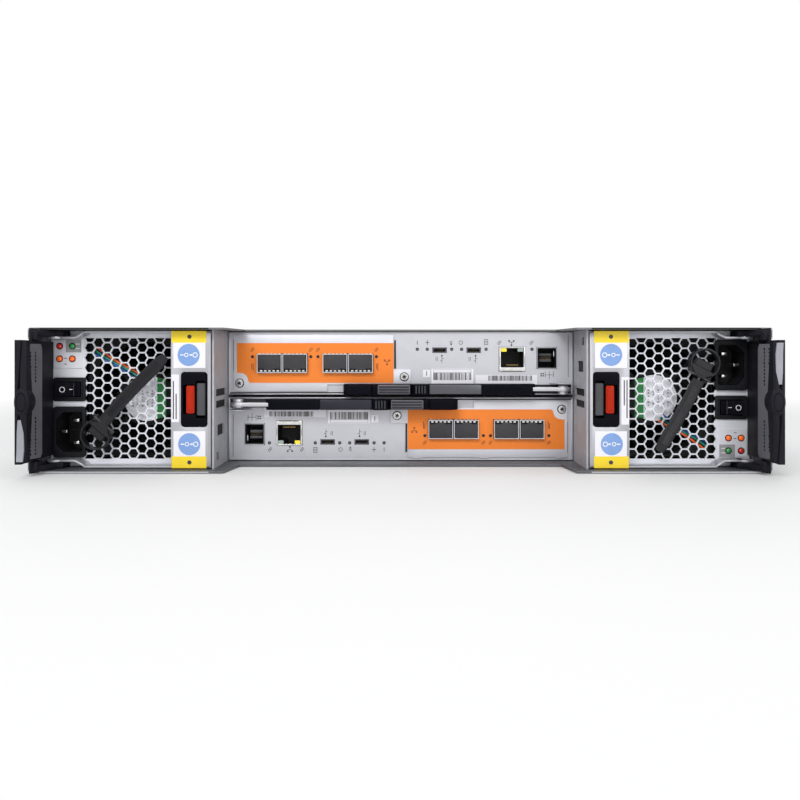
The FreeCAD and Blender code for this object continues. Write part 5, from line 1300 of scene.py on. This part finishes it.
def make_drive(number):
    """A drive on its sled: rails, drive with its lid and screws, connector, vented bezel, lever, lamps."""
    node = f"drive_{number:02d}"
    (left, right), (back, front), (low, high) = spans(node)
    bezel = front - 28
    face = bezel + 20
    piece = Piece(f"{node}_detail")

    piece.box((left, right), (back, bezel + 0.5), (low, low + 1.1), "carrier_sheet", 0.2)
    for start in (left, right - 1.4):
        piece.box((start, start + 1.4), (back, bezel + 0.5), (low + 1.0, low + 12), "carrier_sheet", 0.25)
        piece.row((start + 0.7, back + 22, low + 6.4), 8, (0, 24, 0), (1.42, 10, 3.2), "shadow")
    body_x = (left + 2.8, right - 2.8)
    piece.box(body_x, (back + 8, bezel - 3), (low + 1.3, high - 1.5), "brushed_plate", 0.9, 3)
    lid = rounded(grown(body_x, -1.6), (back + 10, bezel - 5), 5)
    piece.prism(lid, "z", (high - 1.7, high - 0.75), "carrier_sheet", 0.25)
    hub = ((left + right) / 2, back + 62)
    groove = [(38, 0.0), (38, 0.14), (36.8, 0.2), (36.8, 0.02)]
    piece.lathe(groove, (*hub, high - 0.78), "z", "brushed_plate", 48)
    screw = [(2.2, 0.0), (2.2, 0.12), (1.1, 0.15), (0.02, 0.0)]
    for along in (back + 14, back + 110, bezel - 9):
        for across in (-44, 44):
            piece.lathe(screw, (hub[0] + across, along, high - 0.76), "z", "screw_steel", 18)
    piece.box((left + 20, left + 62), (back, back + 9), (low + 3.4, low + 9.4), "black_plastic", 0.4)
    piece.row((left + 24, back + 0.3, low + 6.4), 20, (1.75, 0, 0), (0.7, 0.6, 3.2), "contact_gold")

    outline = rounded((left, right), (low, high), 1.1, 4)
    vent = rounded((left + 5.5, right - 24), (high - 9.4, high - 3.0), 0.8)
    piece.prism(outline, "y", (bezel, face), "bezel_plastic", 0.45, 3, holes=[vent])
    piece.box((left + 5, right - 23.5), (bezel + 12, bezel + 13), (high - 9.8, high - 2.6), "shadow")
    first = (left + 7.1, bezel + 16.6, high - 6.2)
    piece.row(first, 27, (2.86, 0, 0), (0.8, 5.4, 6.7), "bezel_plastic", bevel=0.15)
    bar_x, bar_z = (left + 5.2, right - 23.8), (high - 6.55, high - 5.85)
    piece.box(bar_x, (bezel + 14.5, bezel + 18.9), bar_z, "bezel_plastic", 0.1)

    lever = [(face - 1, low + 2), (face + 5.4, low + 2.9), (face + 7.2, low + 4.6),
             (face + 7.6, low + 6.5), (face + 7.6, low + 10.4), (face + 7.0, low + 12.2),
             (face + 4.0, low + 14.6), (face - 1, low + 15.6)]
    piece.prism(lever, "x", (left + 4, right - 20.5), "bezel_plastic", 0.6, 3)
    first = (left + 30, face + 7.6, low + 8.5)
    piece.row(first, 14, (2.2, 0, 0), (1.1, 0.7, 4.6), "grip_plastic", bevel=0.2)
    piece.box((left + 8, left + 22), (face + 7.5, face + 7.72), (low + 5.6, low + 11.2), "grip_side", 0.1)
    button = [(face - 1, low + 3), (face + 4.6, low + 3.8), (face + 5.4, low + 5.2), (face + 5.4, low + 12.0),
              (face + 4.4, low + 13.6), (face - 1, low + 14.6)]
    piece.prism(button, "x", (right - 18.6, right - 5.2), "finger_grey", 0.7, 3)
    first = (right - 15.4, face + 5.4, low + 8.6)
    piece.row(first, 4, (2.35, 0, 0), (0.9, 0.5, 5.2), "finger_grey", bevel=0.15)
    hinge = [(0.02, 0.0), (2.5, 0.0), (2.5, 13.0), (0.02, 13.0)]
    piece.lathe(hinge, (left + 3.4, face + 0.4, low + 2.3), "z", "bezel_plastic", 18)
    for across, finish in ((right - 16.5, "lens_green"), (right - 9.0, "lens_clear")):
        socket, place = [(1.9, 0.1), (1.9, -0.3), (1.5, -0.35), (1.4, 0.1)], (across, face, high - 6.2)
        piece.lathe(socket, place, "y", "grip_side", 20)
        piece.lathe([(1.35, 0.1), (1.35, 0.15), (0.9, 0.5), (0.02, 0.62)], place, "y", finish, 20)
    piece.done(node, [node])


make_chassis()
for number in DRIVES:
    make_drive(number)


# ---------------------------------------------------------------- floor, light and camera

def seen_directly(tree):
    """1 for a ray from the camera, and for one that a gloss or a clear thing sends on."""
    rays = tree.nodes.new("ShaderNodeLightPath").outputs
    total = rays["Is Camera Ray"]
    for kind in ("Is Glossy Ray", "Is Transmission Ray"):
        total = add_node(tree, "ShaderNodeMath", {0: total, 1: rays[kind]}, operation="MAXIMUM").outputs[0]
    return total


def stage_finish():
    """The pale floor, which fades to white away from the shelf and lamps see as a plain grey-white."""
    finish = Finish("floor", (0.80, 0.80, 0.80), 0.7).mottle(2, 0.01)
    tree = finish.tree
    reach = add_node(tree, "ShaderNodeVectorMath", {0: finish.coordinates}, operation="LENGTH")
    fade = add_node(tree, "ShaderNodeMapRange", {
        "From Min": 0.30, "From Max": 0.75, "Value": reach.outputs["Value"]}, interpolation_type="SMOOTHSTEP")
    share = add_node(tree, "ShaderNodeMath", {0: fade.outputs["Result"], 1: seen_directly(tree)},
                     operation="MULTIPLY")
    white = add_node(tree, "ShaderNodeEmission", {"Color": (1, 1, 1, 1), "Strength": 1.0})
    mix = add_node(tree, "ShaderNodeMixShader", {
        "Fac": share.outputs[0], 1: finish.shader.outputs[0], 2: white.outputs[0]})
    output = next(node for node in tree.nodes if node.type == "OUTPUT_MATERIAL")
    feed(tree, output, {"Surface": mix.outputs[0]})
    return finish.material


def make_floor():
    """A wide floor, just under the shelf."""
    data = bpy.data.meshes.new("floor")
    shape = bmesh.new()
    bmesh.ops.create_grid(shape, x_segments=1, y_segments=1, size=6)
    bmesh.ops.translate(shape, verts=shape.verts, vec=(0, 0, -0.0005))
    shape.to_mesh(data)
    shape.free()
    data.materials.append(stage_finish())
    ground = bpy.data.objects.new("floor", data)
    bpy.context.scene.collection.objects.link(ground)


def make_world():
    """A world that looks white, and lights the shelf more weakly."""
    world = bpy.data.worlds.new("studio")
    bpy.context.scene.world = world
    world.use_nodes = True
    tree = world.node_tree
    tree.nodes.clear()
    seen = add_node(tree, "ShaderNodeBackground", {"Color": (1, 1, 1, 1), "Strength": 1.0})
    lit = add_node(tree, "ShaderNodeBackground", {"Color": (0.96, 0.98, 1, 1), "Strength": 0.38})
    mix = add_node(tree, "ShaderNodeMixShader", {
        "Fac": seen_directly(tree), 1: lit.outputs["Background"], 2: seen.outputs["Background"]})
    add_node(tree, "ShaderNodeOutputWorld", {"Surface": mix.outputs["Shader"]})


def lamp(name, place, aim, width, height, power):
    """A soft rectangular lamp."""
    light = bpy.data.lights.new(name, "AREA")
    light.shape = "RECTANGLE"
    light.size = width
    light.size_y = height
    light.energy = power
    holder = bpy.data.objects.new(name, light)
    bpy.context.scene.collection.objects.link(holder)
    holder.location = place
    holder.rotation_euler = (Vector(aim) - Vector(place)).to_track_quat("-Z", "Y").to_euler()


def make_camera():
    """The camera straight before the connector side, with a small shift."""
    data = bpy.data.cameras.new("camera")
    data.sensor_width = 36
    data.lens = 31.23
    data.shift_x = -0.0084
    data.shift_y = -0.0602
    data.clip_start = 0.01
    holder = bpy.data.objects.new("camera", data)
    bpy.context.scene.collection.objects.link(holder)
    holder.location = (0.004, -0.732, 0.0733)
    holder.rotation_euler = (math.radians(90), 0, 0)
    bpy.context.scene.camera = holder


make_floor()
make_world()
lamp("key", (-0.5, -1.5, 1.1), (0, -0.2, 0.04), 0.9, 0.5, 16.5)
lamp("fill", (1.0, -1.4, 0.5), (0, -0.2, 0.04), 1.2, 0.8, 7)
lamp("top", (0, 0.1, 1.5), (0, 0, 0.04), 1.6, 1.2, 8)
lamp("back", (0, 1.6, 0.9), (0, 0, 0.04), 1.6, 0.8, 6)
make_camera()
bpy.context.scene.view_settings.view_transform = "Standard"
